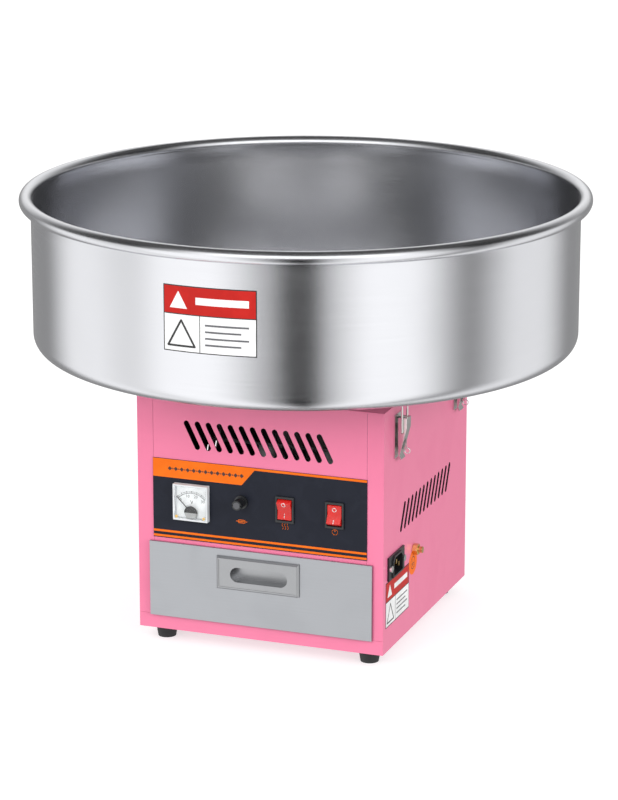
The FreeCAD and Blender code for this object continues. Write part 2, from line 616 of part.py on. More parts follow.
def makeMeter():
    case = newBody("voltmeter_case")
    half = "(meterSize/2)"
    plate = newSketch(case, "XZ_Plane", overlayFace)
    rectangle(plate, "meterX - " + half, "%s - %s" % (meterZ, half), "meterX + " + half, "%s + %s" % (meterZ, half))
    feature(case, "Pad", plate, Length="meterDepth")
    hollow = newSketch(case, "XZ_Plane", meterFront)
    inner = "(meterSize/2 - meterWall)"
    rectangle(hollow, "meterX - " + inner, "%s - %s" % (meterZ, inner), "meterX + " + inner,
              "%s + %s" % (meterZ, inner))
    feature(case, "Pocket", hollow, Length="meterDepth - dialSheet")
    barrel = newSketch(case, "XZ_Plane", overlayFace)
    circle(barrel, "meterX", meterZ, "meterBarrel")
    feature(case, "Pad", barrel, Length="meterBack", Reversed=True)

    dial = newBody("voltmeter_dial")
    plate = newSketch(dial, "XZ_Plane", dialFace)
    fit = "(meterSize/2 - meterWall - holeClearance)"
    rectangle(plate, "meterX - " + fit, "%s - %s" % (meterZ, fit), "meterX + " + fit, "%s + %s" % (meterZ, fit))
    feature(dial, "Pad", plate, Length="dialSheet")

    window = newBody("voltmeter_window")
    plate = newSketch(window, "XZ_Plane", meterFront + " - windowSheet")
    rectangle(plate, "meterX - " + fit, "%s - %s" % (meterZ, fit), "meterX + " + fit, "%s + %s" % (meterZ, fit))
    feature(window, "Pad", plate, Length="windowSheet")

    needle = newBody("voltmeter_needle")
    blade = newSketch(needle, "XZ_Plane")
    rectangle(blade, "-needleWidth/2", "0", "needleWidth/2", "needleLength")
    feature(needle, "Pad", blade, Length="needleWidth/2")
    hub = newSketch(needle, "XZ_Plane", "-needleWidth")
    circle(hub, 0, 0, "2*needleWidth")
    feature(needle, "Pad", hub, Length="2*needleWidth")
    needle.Placement.Rotation = Rotation(Vector(0, 1, 0), 0)
    bind(needle, "Placement.Rotation.Axis.y", "1")
    bind(needle, "Placement.Rotation.Axis.z", "0")
    bind(needle, "Placement.Rotation.Angle", "-needleSweep")
    place(needle, "meterX", "-(%s + dialSheet + 2*needleWidth)" % dialFace, "%s - needleDrop" % meterZ)


def makeFuse():
    holder = newBody("fuse_holder")
    ring = newSketch(holder, "XZ_Plane", overlayFace)
    circle(ring, "fuseX", fuseZ, "fuseRingRadius")
    feature(holder, "Pad", ring, Length="fuseRing")
    barrel = newSketch(holder, "XZ_Plane", overlayFace)
    circle(barrel, "fuseX", fuseZ, "fuseBarrel")
    feature(holder, "Pad", barrel, Length="fuseBack", Reversed=True)
    bore = newSketch(holder, "XZ_Plane", overlayFace + " + fuseRing")
    circle(bore, "fuseX", fuseZ, "fuseRadius + 2*holeClearance")
    feature(holder, "Pocket", bore, Length="fuseBack + fuseRing - panelSheet")

    cap = newBody("fuse_cap")
    seat = "(%s + fuseRing + drawerGap)" % overlayFace
    knob = newSketch(cap, "XZ_Plane", seat)
    circle(knob, "fuseX", fuseZ, "fuseCapRadius")
    feature(cap, "Pad", knob, Length="fuseCapLength")
    cut = newSketch(cap, "XZ_Plane", seat + " + fuseCapLength")
    rectangle(cut, "fuseX - 2*fuseCapRadius", fuseZ + " - fuseCapSlot/2", "fuseX + 2*fuseCapRadius",
              fuseZ + " + fuseCapSlot/2")
    feature(cap, "Pocket", cut, Length="fuseCapSlotDepth")

    glass = rod("y", "fuseX", "-(%s + fuseRing) + seamGap" % overlayFace, fuseZ, "fuseRadius", "fuseLength")
    keep(glass, "glass_fuse")


def makeSwitch(name, x, tilt):
    body = newBody(name + "_switch_body")
    halfWidth = "(bezelWidth/2)"
    halfHeight = "(bezelHeight/2)"
    bezel = newSketch(body, "XZ_Plane", overlayFace)
    rectangle(bezel, "%s - %s" % (x, halfWidth), "%s - %s" % (switchZ, halfHeight),
              "%s + %s" % (x, halfWidth), "%s + %s" % (switchZ, halfHeight))
    feature(body, "Pad", bezel, Length="bezelDepth")
    wide = "(rockerWidth/2 + rockerGap + switchWall)"
    tall = "(rockerRadius + rockerGap + switchWall)"
    shell = newSketch(body, "XZ_Plane", overlayFace)
    rectangle(shell, "%s - %s" % (x, wide), "%s - %s" % (switchZ, tall), "%s + %s" % (x, wide),
              "%s + %s" % (switchZ, tall))
    feature(body, "Pad", shell, Length="switchBack", Reversed=True)
    well = newSketch(body, "XZ_Plane", overlayFace + " + bezelDepth")
    rectangle(well, "%s - %s + switchWall" % (x, wide), "%s - %s + switchWall" % (switchZ, tall),
              "%s + %s - switchWall" % (x, wide), "%s + %s - switchWall" % (switchZ, tall))
    feature(body, "Pocket", well, Length="bezelDepth + rockerRadius + pivotDepth")

    rocker = newBody(name + "_rocker")
    section = newSketch(rocker, "YZ_Plane", "-rockerWidth/2")
    polygon(section, [("-rockerFront", "-rockerRadius"), ("-rockerValley", "0"), ("-rockerFront", "rockerRadius"),
                      ("rockerBack", "rockerRadius"), ("rockerBack", "-rockerRadius")])
    feature(rocker, "Pad", section, Length="rockerWidth")
    sweep = newSketch(rocker, "YZ_Plane", "rockerWidth/2")
    circle(sweep, 0, 0, "rockerRadius")
    circle(sweep, 0, 0, "2*rockerRadius")
    feature(rocker, "Pocket", sweep, Length="rockerWidth")
    rocker.Placement.Rotation = Rotation(Vector(1, 0, 0), 0)
    bind(rocker, "Placement.Rotation.Axis.x", "1")
    bind(rocker, "Placement.Rotation.Axis.z", "0")
    bind(rocker, "Placement.Rotation.Angle", "%d*rockerTilt" % tilt)
    place(rocker, x, "-(%s - pivotDepth)" % overlayFace, switchZ)


# Mains inlet and earth terminal, on the right side

def makeInlet():
    body = newBody("inlet_body")
    flange = newSketch(body, "YZ_Plane", sideFace)
    rectangle(flange, "inletY - inletFlangeWidth/2", "%s - inletFlangeHeight/2" % inletZ,
              "inletY + inletFlangeWidth/2", "%s + inletFlangeHeight/2" % inletZ)
    for end in (-1, 1):
        circle(flange, "inletY + %d*inletScrewSpacing/2" % end, inletZ, "screwRadius + holeClearance")
    feature(body, "Pad", flange, Length="inletFlange")
    rim = newSketch(body, "YZ_Plane", sideFace + " + inletFlange")
    chamferedFace(rim, "0")
    feature(body, "Pad", rim, Length="inletProud - inletFlange")
    barrel = newSketch(body, "YZ_Plane", sideFace)
    chamferedFace(barrel, "0")
    feature(body, "Pad", barrel, Length="inletBack", Reversed=True)
    socket = newSketch(body, "YZ_Plane", sideFace + " + inletProud")
    chamferedFace(socket, "inletWall")
    feature(body, "Pocket", socket, Length="inletSocket")
    blades = newSketch(body, "YZ_Plane", sideFace + " + inletProud - inletSocket")
    for y, z in pinPlaces:
        rectangle(blades, "%s - pinThickness/2" % y, "%s - pinWidth/2" % z, "%s + pinThickness/2" % y,
                  "%s + pinWidth/2" % z)
    feature(body, "Pocket", blades, Length="inletBack")
    pins = []
    for y, z in pinPlaces:
        pins.append(block("%s + inletProud - pinRecess - pinLength" % sideFace, "%s - pinThickness/2" % y,
                          "%s - pinWidth/2" % z, "pinLength", "pinThickness", "pinWidth"))
    grouped("inlet_pins", pins)


pinPlaces = (("(inletY - pinSpacing)", "(%s - pinDrop)" % inletZ), ("inletY", "(%s + pinDrop)" % inletZ),
             ("(inletY + pinSpacing)", "(%s - pinDrop)" % inletZ))


def chamferedFace(sketch, wall):
    """The inlet's outline, with its two upper corners cut off, smaller all round by wall."""
    left = "(inletY - inletWidth/2 + %s)" % wall
    right = "(inletY + inletWidth/2 - %s)" % wall
    low = "(%s - inletHeight/2 + %s)" % (inletZ, wall)
    high = "(%s + inletHeight/2 - %s)" % (inletZ, wall)
    polygon(sketch, [(left, low), (right, low), (right, high + " - inletChamfer"),
                     (right + " - inletChamfer", high), (left + " + inletChamfer", high),
                     (left, high + " - inletChamfer")])


def makeEarth():
    shank = rod("x", sideFace + " - earthProud", "earthY", earthZ, "earthRadius", "2*earthProud")
    collar = rod("x", sideFace + " - panelSheet - earthCollar", "earthY", earthZ, "earthNutRadius", "earthCollar")
    keep(joined([shank, collar]), "earth_stud")
    nut = newBody("earth_nut")
    hexagon = newSketch(nut, "YZ_Plane", sideFace + " + seamGap")
    half = "(earthNutRadius/2)"
    tall = "(earthNutRadius*hexFlat)"
    polygon(hexagon, [("earthY + earthNutRadius", earthZ), ("earthY + " + half, "%s + %s" % (earthZ, tall)),
                      ("earthY - " + half, "%s + %s" % (earthZ, tall)), ("earthY - earthNutRadius", earthZ),
                      ("earthY - " + half, "%s - %s" % (earthZ, tall)),
                      ("earthY + " + half, "%s - %s" % (earthZ, tall))])
    circle(hexagon, "earthY", earthZ, "earthRadius + runClearance")
    feature(nut, "Pad", hexagon, Length="earthNut")


# Latches: each is drawn at its pivot, with X pointing away from the cabinet, then turned and placed

def makeLatchBases():
    bases = []
    for side in (-1, 1):
        for row in (-1, 1):
            y = "%d*latchY" % row
            plate = sideBlock(side, "0", "latchPlate", y + " - latchWidth/2", latchZ + " - leverLength - latchFoot",
                              "latchWidth", "leverLength + latchFoot + latchTop")
            parts = [plate]
            axle = "%s%s" % ("" if side > 0 else "-", "(cabinetWidth/2 + latchProud)")
            for edge in ("- latchEar - latchPlate", "+ latchEar"):
                parts.append(sideBlock(side, "latchPlate", "latchProud", "%s %s" % (y, edge),
                                       latchZ + " - latchNeck", "latchPlate", "2*latchNeck"))
                parts.append(rod("y", axle, "%s %s" % (y, edge), latchZ, "latchEyeRadius", "latchPlate"))
            parts.append(rod("y", axle, y + " - latchPinHalf", latchZ, "latchPinRadius", "2*latchPinHalf"))
            lug = sideBlock(side, "latchPlate", "(latchProud + lugProud)", y + " - lugThickness/2",
                            latchZ + " - lugDrop", "lugThickness", "lugHeight")
            eye = rod("y", "%s(cabinetWidth/2 + latchProud - lugEyeInset)" % ("" if side > 0 else "-"),
                      y + " - lugThickness", latchZ + " - lugEyeDrop", "lugEyeRadius", "2*lugThickness")
            parts.append(cutAway(lug, [eye]))
            bases.append(joined(parts))
    grouped("latch_bases", bases)


latchNames = {(1, -1): "right_front", (1, 1): "right_rear", (-1, -1): "left_front", (-1, 1): "left_rear"}


def makeLever(label, side, row):
    body = newBody(label)
    top = "latchProud + leverCrown"
    back = "latchProud - leverBack"
    toe = "latchPlate + leverToeBack"
    section = newSketch(body, "XZ_Plane", "leverHalf")
    polygon(section, [(back, "leverTop"), (top, "leverTop"), (top, "-leverShoulder"), ("leverToe", "-leverLength"),
                      ("leverToe + leverLip", "-leverLength - leverLipDrop"),
                      ("leverToe + leverLip - leverLipThickness", "-leverLength - leverLipDrop - leverLipThickness"),
                      (toe, "-leverLength - leverLipThickness"), (toe, "-leverLength"), (back, "-leverNeck")])
    feature(body, "Pad", section, Length="2*leverHalf", Reversed=True)
    channel = newSketch(body, "XZ_Plane", "leverHalf - latchPlate")
    polygon(channel, [(back + " - leverOverrun", "leverTop + leverOverrun"),
                      (top + " - latchPlate", "leverTop + leverOverrun"), (top + " - latchPlate", "-leverShoulder"),
                      (toe, "-leverLength"), ("latchPlate", "-leverLength"), (back + " - leverOverrun", "-leverNeck")])
    feature(body, "Pocket", channel, Length="2*(leverHalf - latchPlate)")
    holes = newSketch(body, "XZ_Plane", "leverHalf")
    circle(holes, "latchProud", "0", "latchPinRadius + runClearance")
    circle(holes, "latchProud", "-loopDrop", "loopWire + runClearance")
    feature(body, "Pocket", holes, Length="2*leverHalf")
    gate = newSketch(body, "YZ_Plane", "latchProud + leverCrown + leverOverrun")
    rectangle(gate, "-gateHalf", "-gateBottom", "gateHalf", "-gateTop")
    feature(body, "Pocket", gate, Length="latchProud + leverCrown + leverOverrun - latchPlate")
    placeLatch(body, side, row)


def makeLoop(label, side, row):
    body = newBody(label)
    section = newSketch(body, "XZ_Plane", "loopEnd")
    circle(section, "latchProud", "-loopDrop", "loopWire")
    path = newSketch(body, "YZ_Plane", "latchProud")
    polygon(path, [("-loopEnd", "-loopDrop"), ("-loopHalf", "-loopDrop"), ("-loopHalf", "loopRise"),
                   ("loopHalf", "loopRise"), ("loopHalf", "-loopDrop"), ("loopEnd", "-loopDrop")], closed=False)
    wire = body.newObject("PartDesign::AdditivePipe", label + "_pipe")
    wire.Profile = section
    wire.Spine = (path, ["Edge1", "Edge2", "Edge3", "Edge4", "Edge5"])
    wire.Transition = "Round corner"
    body.Tip = wire
    placeLatch(body, side, row)


def placeLatch(body, side, row):
    if side < 0:
        body.Placement.Rotation = Rotation(Vector(0, 0, 1), 180)
    place(body, "%d*%s" % (side, sideFace), "%d*latchY" % row, latchZ)


# Spinning head

def makeHead():
    dish = newBody("head_dish")
    hubTop = headBase + " + hubHeight"
    revolve(dish, [("shaftRadius", headBase + " - hubNeck"), ("hubRadius", headBase + " - hubNeck"),
                   ("hubRadius", headBase),
                   ("headRadius", headBase), ("headRadius", bandBase), ("hubRadius", bandBase),
                   ("hubRadius - hubChamfer", hubTop), ("shaftRadius", hubTop)])
    holes = newSketch(dish, "XY_Plane", bandBase)
    headScrewHoles(holes)
    feature(dish, "Pocket", holes, Length="headSheet")

    band = newBody("slotted_band")
    rim = "headRadius - bandInset"
    revolve(band, [(rim + " - bandSheet", bandBase), (rim, bandBase), (rim, coverBase),
                   (rim + " - bandSheet", coverBase)])
    cut = newSketch(band, "YZ_Plane", "headRadius")
    middle = "(%s + bandHeight/2)" % bandBase
    slot(cut, "0", middle + " - (bandSlotHeight - bandSlotWidth)/2", "0",
         middle + " + (bandSlotHeight - bandSlotWidth)/2", "bandSlotWidth/2")
    made = feature(band, "Pocket", cut, Length="headRadius/2")
    around(band, made, "bandSlots")

    coil = newBody("heating_coil")
    for turn in ("bandHeight*0.3", "bandHeight*0.7"):
        revolveCircle(coil, "coilRadius", "%s + %s" % (bandBase, turn), "coilWire")
    stems = newSketch(coil, "XY_Plane", bandBase)
    circle(stems, "coilRadius", "0", "stemRadius")
    circle(stems, "-coilRadius", "0", "stemRadius")
    feature(coil, "Pad", stems, Length="bandHeight*0.7")

    cover = newBody("head_cover")
    lid = "(%s + coverRise)" % coverBase
    revolve(cover, [("cupRadius", coverBase), ("headRadius", coverBase), ("headRadius", coverBase + " + headSheet"),
                    ("cupRadius + coverShoulder", lid), ("cupRadius", lid)])
    hollow = newSketch(cover, "XZ_Plane")
    polygon(hollow, [("cupRadius + headSheet", coverBase), ("headRadius - coverShoulder", coverBase),
                     ("cupRadius + coverShoulder", lid + " - coverRoof"),
                     ("cupRadius + headSheet", lid + " - coverRoof")])
    feature(cover, "Groove", hollow, ReferenceAxis=(hollow, ["V_Axis"]))
    holes = newSketch(cover, "XY_Plane", lid)
    headScrewHoles(holes)
    feature(cover, "Pocket", holes, Length="coverRise")

    screws = []
    for x, y in headScrewPlaces:
        stem = rod("z", x, y, headBase + " - headScrewHead", "headScrewRadius",
                   "headSheet + bandHeight + coverRise + headScrewHead + headScrewEnd")
        lowHead = rod("z", x, y, headBase + " - headScrewHead", "2*headScrewRadius", "headScrewHead")
        screws.append(joined([stem, lowHead]))
    grouped("head_screws", screws)


headScrewPlaces = (("headScrewCircle", "0"), ("0", "headScrewCircle"), ("-headScrewCircle", "0"),
                   ("0", "-headScrewCircle"))


def headScrewHoles(sketch):
    for x, y in headScrewPlaces:
        circle(sketch, x, y, "headScrewRadius")


# Drive

def makeDrive():
    shaft = newBody("drive_shaft")
    top = headBase + " + hubHeight"
    low = motorBase + " - bellHeight + 1"
    revolve(shaft, [("0", low), ("shaftRadius", low), ("shaftRadius", top), ("shaftNutRadius", top),
                    ("shaftNutRadius", top + " + 5"), ("0", top + " + 5")])

    rotor = newBody("motor_rotor")
    rotorBase = "(%s + (motorHeight - rotorHeight)/2)" % motorBase
    revolve(rotor, [("shaftRadius", rotorBase), ("rotorRadius", rotorBase),
                    ("rotorRadius", rotorBase + " + rotorHeight"), ("shaftRadius", rotorBase + " + rotorHeight")])

    bush = newBody("slip_ring_bush")
    revolve(bush, [("shaftRadius", bushBase), ("bushRadius", bushBase), ("bushRadius", bushBase + " + bushHeight"),
                   ("shaftRadius", bushBase + " + bushHeight")])

    rings = []
    for count in range(2):
        z = ringBase(count)
        outer = rod("z", 0, 0, z, "ringRadius", "ringHeight")
        rings.append(cutAway(outer, [rod("z", 0, 0, z, "bushRadius", "ringHeight")]))
    grouped("slip_rings", rings)


def ringBase(count):
    return "(%s + 8 + %d*ringSpacing)" % (bushBase, count)


def brushSlot(count, gap):
    """Where a brush runs: its near end, and its section larger all round by gap."""
    z = "(%s + (ringHeight - brushHeight)/2 - %s)" % (ringBase(count), gap)
    return "-(brushWidth/2 + %s)" % gap, z, "brushWidth + 2*" + gap, "brushHeight + 2*" + gap


def makeBrushes():
    block0 = block("holderNear", "-holderWidth/2", plateTop, "holderLength", "holderWidth", "holderHeight")
    channels = []
    brushes = []
    for count in range(2):
        y, z, width, height = brushSlot(count, "holeClearance")
        channels.append(block("holderNear - 1", y, z, "brushLength + ringRadius - holderNear + 2", width, height))
        y, z, width, height = brushSlot(count, "0")
        brushes.append(block("ringRadius + brushGap", y, z, "brushLength", width, height))
    keep(cutAway(block0, channels), "brush_holder")
    grouped("carbon_brushes", brushes)


def makeMotor():
    case = newBody("motor_case")
    top = "(%s + motorHeight)" % motorBase
    revolve(case, [("motorRadius - motorShell", motorBase), ("motorRadius", motorBase), ("motorRadius", top),
                   ("motorRadius - motorShell", top)])

    stator = newBody("motor_stator")
    statorLow = "(%s + (motorHeight - rotorHeight)/2)" % motorBase
    statorHigh = "(%s + rotorHeight)" % statorLow
    revolve(stator, [("statorBore", statorLow), ("motorRadius - motorShell", statorLow),
                     ("motorRadius - motorShell", statorHigh), ("statorBore", statorHigh)])

    bells = []
    bearings = []
    for base in ("(%s - bellHeight)" % motorBase, top):
        disc = rod("z", 0, 0, base, "motorRadius", "bellHeight")
        bore = rod("z", 0, 0, base, "bearingRadius", "bellHeight")
        bells.append(cutAway(disc, [bore]))
        seat = "(%s + (bellHeight - bearingHeight)/2)" % base
        ring = rod("z", 0, 0, seat, "bearingRadius", "bearingHeight")
        hole = rod("z", 0, 0, seat, "shaftRadius + runClearance", "bearingHeight")
        bearings.append(cutAway(ring, [hole]))
    grouped("motor_end_bells", bells)
    grouped("motor_bearings", bearings)

    plate = newBody("motor_plate")
    outline = newSketch(plate, "XY_Plane", plateBase)
    rectangle(outline, "-motorPlateSize/2", "-motorPlateSize/2", "motorPlateSize/2", "motorPlateSize/2")
    circle(outline, "0", "0", "bearingRadius")
    feature(plate, "Pad", outline, Length="motorPlate")

    posts = []
    for x in (-1, 1):
        for y in (-1, 1):
            at = ("%d*standoffSpacing/2" % x, "%d*standoffSpacing/2" % y)
            post = rod("z", at[0], at[1], plateTop, "standoffRadius", "motorPlateDrop - panelSheet")
            bore = rod("z", at[0], at[1], panelTop + " - screwLength", "screwRadius", "screwLength")
            posts.append(cutAway(post, [bore]))
    grouped("motor_standoffs", posts)


def makeRearParts():
    y = "(cabinetDepth/2 - rearStandoff)"
    base = block("-terminalLength/2", y + " - terminalWidth/2", floorTop, "terminalLength", "terminalWidth",
                 "terminalHeight")
    wells = []
    for count in range(-2, 3):
        x = "%d*terminalLength/5.5" % count
        wells.append(rod("z", x, y, floorTop + " + terminalHeight/2", "screwHeadRadius", "terminalHeight/2"))
    keep(cutAway(base, wells), "terminal_block")
    can = newBody("motor_capacitor")
    top = floorTop + " + capacitorHeight"
    revolve(can, [("0", floorTop), ("capacitorRadius", floorTop), ("capacitorRadius", top), ("0", top)])
    place(can, "capacitorX", y)


makeBaseTray()
makeSidePanel("left_side_panel", -1)
makeSidePanel("right_side_panel", 1)
makeFrontPanel()
makeOverlay()
makeRearPanel()
makeTopPlate()
makeFeet()
makeScrews()
makeBowl()
makeSeat()
makeKeepers()
makeDrawer()
makeRunners()
makeMeter()
makeFuse()
makeSwitch("heat", "heatX", 1)
makeSwitch("power", "powerX", -1)
makeInlet()
makeEarth()
makeLatchBases()
for (side, row), name in latchNames.items():
    makeLever("latch_lever_" + name, side, row)
    makeLoop("latch_loop_" + name, side, row)
makeHead()
makeDrive()
makeBrushes()
makeMotor()
makeRearParts()
doc.recompute()

for thing in doc.Objects:
    if {"Invalid", "Error"} & set(thing.State):
        raise RuntimeError("%s (%s) failed: %s" % (thing.Name, thing.Label, thing.State))
for thing in nodes:
    if thing.Shape.isNull() or not thing.Shape.isValid() or not thing.Shape.Solids:
        raise RuntimeError("%s has no valid solid" % thing.Label)

os.makedirs("parts", exist_ok=True)
for thing in nodes:
    thing.Shape.exportStep("parts/%s.step" % thing.Label)
print("%d sub-parts" % len(nodes))
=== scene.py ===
import bpy
import bmesh
import json
import math
from mathutils import Matrix, Vector
from mathutils.bvhtree import BVHTree


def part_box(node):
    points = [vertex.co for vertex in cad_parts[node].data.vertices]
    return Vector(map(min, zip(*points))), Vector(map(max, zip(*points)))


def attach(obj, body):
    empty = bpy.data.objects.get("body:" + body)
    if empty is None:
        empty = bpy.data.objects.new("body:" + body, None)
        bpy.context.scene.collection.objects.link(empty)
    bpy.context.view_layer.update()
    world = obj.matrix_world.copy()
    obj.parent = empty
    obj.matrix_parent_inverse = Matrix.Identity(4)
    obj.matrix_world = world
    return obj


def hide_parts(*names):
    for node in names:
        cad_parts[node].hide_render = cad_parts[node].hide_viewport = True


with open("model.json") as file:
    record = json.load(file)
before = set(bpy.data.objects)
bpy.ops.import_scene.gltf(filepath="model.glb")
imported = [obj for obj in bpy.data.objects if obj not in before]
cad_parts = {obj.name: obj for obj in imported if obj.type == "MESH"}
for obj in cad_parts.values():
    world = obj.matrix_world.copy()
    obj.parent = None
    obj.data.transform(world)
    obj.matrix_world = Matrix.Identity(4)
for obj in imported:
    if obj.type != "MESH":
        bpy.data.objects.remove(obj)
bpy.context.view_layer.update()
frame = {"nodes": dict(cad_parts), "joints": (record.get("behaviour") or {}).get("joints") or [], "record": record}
nodes = frame["nodes"]
slotOf = {part["node"]: part["material_slot"] for part in frame["record"]["subparts"]}
bodyOf = {node: body for body, members in frame["record"]["behaviour"]["bodies"].items() for node in members}
joints = {joint["name"]: joint for joint in frame["joints"]}
mm = 0.001
scene = bpy.context.scene
scene.view_settings.view_transform = "Standard"
print("frame loaded:", len(nodes), "nodes")

# the camera stands in front, to the right, a little above the rim
view = {"place": (0.9972, -2.6708, 1.0039), "down": 15.6, "turn": 20.418, "lens": 144.1, "farthest": 50}

cameraData = bpy.data.cameras.new("camera")
cameraData.lens = view["lens"]
cameraData.clip_end = view["farthest"]
camera = bpy.data.objects.new("camera", cameraData)
camera.location = view["place"]
camera.rotation_euler = (math.radians(90 - view["down"]), 0, math.radians(view["turn"]))
scene.collection.objects.link(camera)
scene.camera = camera

# a soft box is its middle and half width in degrees round from the front, then its brightness
studio = {
    "backdrop": 1.0,
    "ambient": (0.5, 0.92),       # light on matt surfaces from below and from above
    "ambientRise": (-0.3, 0.2),
    "dim": 0.34,                  # what gloss shows between the boxes
    "boxes": ((-103, 26, 0.95), (-50, 33, 1.15), (36, 28, 1.1), (106, 28, 0.8)),
    "boxEdge": (0.25, 1.35),      # where a box starts and ends to fade, in half widths
    "boxTop": (-0.02, 0.2),
    "above": 0.05,                # share of the boxes that is left over their tops
    "gap": (-2.5, 3.5, 12.0),     # dark strip: middle, inner and outer half width
    "rear": (180, 75, 1.1),       # raised lights for the inside of the bowl
    "fill": (20, 75, 2.2),
    "raised": (0.02, 0.2),
    "lowered": (0.55, 0.8),
    "overhead": 0.05,
    "overheadRise": (0.6, 0.9),
}


def mathNode(tree, operation, first, second=None):
    node = tree.nodes.new("ShaderNodeMath")
    node.operation = operation
    for socket, source in zip(node.inputs, (first, second)):
        if isinstance(source, (int, float)):
            socket.default_value = source
        elif source is not None:
            tree.links.new(source, socket)
    return node.outputs[0]


def falloff(tree, source, start, end, near, far=0.0):
    node = tree.nodes.new("ShaderNodeMapRange")
    node.interpolation_type = "SMOOTHSTEP"
    tree.links.new(source, node.inputs["Value"])
    node.inputs["From Min"].default_value = start
    node.inputs["From Max"].default_value = end
    node.inputs["To Min"].default_value = near
    node.inputs["To Max"].default_value = far
    return node.outputs["Result"]


def distanceFrom(tree, around, middle):
    return mathNode(tree, "ABSOLUTE", mathNode(tree, "SUBTRACT", around, middle))


def mixValue(tree, factor, first, second):
    mix = tree.nodes.new("ShaderNodeMix")
    tree.links.new(factor, mix.inputs["Factor"])
    tree.links.new(first, mix.inputs["A"])
    if isinstance(second, float):
        mix.inputs["B"].default_value = second
    else:
        tree.links.new(second, mix.inputs["B"])
    return mix.outputs["Result"]


# the angle round the object, in degrees, and the height of a direction
def studioDirections(tree):
    direction = tree.nodes.new("ShaderNodeTexCoord").outputs["Generated"]
    turn = math.radians(view["turn"])
    facing = []
    for axis in ((math.sin(turn), -math.cos(turn), 0), (math.cos(turn), math.sin(turn), 0)):
        dot = tree.nodes.new("ShaderNodeVectorMath")
        dot.operation = "DOT_PRODUCT"
        tree.links.new(direction, dot.inputs[0])
        dot.inputs[1].default_value = axis
        facing.append(dot.outputs["Value"])
    around = mathNode(tree, "MULTIPLY", mathNode(tree, "ARCTAN2", facing[1], facing[0]), 180 / math.pi)
    split = tree.nodes.new("ShaderNodeSeparateXYZ")
    tree.links.new(direction, split.inputs[0])
    return around, split.outputs["Z"]


def buildWorld():
    world = bpy.data.worlds.new("studio")
    world.use_nodes = True
    scene.world = world
    tree = world.node_tree
    tree.nodes.clear()
    around, height = studioDirections(tree)
    glow = studio["dim"]
    for middle, half, bright in studio["boxes"]:
        inner, outer = (half * share for share in studio["boxEdge"])
        box = falloff(tree, distanceFrom(tree, around, middle), inner, outer, bright)
        glow = mathNode(tree, "ADD", glow, box)
    middle, inner, outer = studio["gap"]
    strip = falloff(tree, distanceFrom(tree, around, middle), inner, outer, 0.0, 1.0)
    glow = mathNode(tree, "MULTIPLY", glow, strip)
    glow = mathNode(tree, "MULTIPLY", glow, falloff(tree, height, *studio["boxTop"], 1.0, studio["above"]))
    raised = falloff(tree, height, *studio["raised"], 0, 1)
    lowered = falloff(tree, height, *studio["lowered"], 1, 0)
    offFront = mathNode(tree, "ABSOLUTE", around)
    middle, half, bright = studio["rear"]
    behind = falloff(tree, offFront, middle - half, middle, 0, bright)
    ahead = falloff(tree, offFront, *studio["fill"])
    for light in (behind, ahead):
        share = mathNode(tree, "MULTIPLY", mathNode(tree, "MULTIPLY", light, raised), lowered)
        glow = mathNode(tree, "ADD", glow, share)
    overhead = falloff(tree, height, *studio["overheadRise"], 0, studio["overhead"])
    glow = mathNode(tree, "ADD", glow, overhead)
    soft = mathNode(tree, "ADD", falloff(tree, height, *studio["ambientRise"], *studio["ambient"]), overhead)
    paths = tree.nodes.new("ShaderNodeLightPath")
    lit = mixValue(tree, paths.outputs["Is Glossy Ray"], soft, glow)
    background = tree.nodes.new("ShaderNodeBackground")
    background.inputs["Color"].default_value = (1, 1, 1, 1)
    tree.links.new(mixValue(tree, paths.outputs["Is Camera Ray"], lit, studio["backdrop"]),
                   background.inputs["Strength"])
    output = tree.nodes.new("ShaderNodeOutputWorld")
    tree.links.new(background.outputs[0], output.inputs["Surface"])


lamps = {
    "key_light": {"place": (-0.7, -2.6, 1.5), "aim": (0, 0, 0.2), "width": 1.2, "power": 30},
    "side_light": {"place": (2.6, -1.2, 1.1), "aim": (0, 0, 0.2), "width": 1.2, "power": 34},
}


def softLight(name, place, aim, width, power):
    data = bpy.data.lights.new(name, "AREA")
    data.shape = "RECTANGLE"
    data.size = data.size_y = width
    data.energy = power
    lamp = bpy.data.objects.new(name, data)
    lamp.location = place
    lamp.rotation_euler = (Vector(aim) - Vector(place)).to_track_quat("-Z", "Y").to_euler()
    lamp.visible_glossy = False  # gloss shows the boxes instead
    scene.collection.objects.link(lamp)


buildWorld()
for name, lamp in lamps.items():
    softLight(name, **lamp)
print("studio ready")


# node groups that more than one finish uses

def newGroup(name, inputs, outputs):
    group = bpy.data.node_groups.new(name, "ShaderNodeTree")
    for label, kind, start in inputs:
        socket = group.interface.new_socket(name=label, in_out="INPUT", socket_type="NodeSocket" + kind)
        if start is not None:
            socket.default_value = start
    for label, kind in outputs:
        group.interface.new_socket(name=label, in_out="OUTPUT", socket_type="NodeSocket" + kind)
    return group, group.nodes.new("NodeGroupInput"), group.nodes.new("NodeGroupOutput")


def addNoise(tree, vector, scale, detail=2, rough=0.5):
    noise = tree.nodes.new("ShaderNodeTexNoise")
    tree.links.new(vector, noise.inputs["Vector"])
    noise.inputs["Scale"].default_value = scale
    noise.inputs["Detail"].default_value = detail
    noise.inputs["Roughness"].default_value = rough
    return noise.outputs["Fac"]


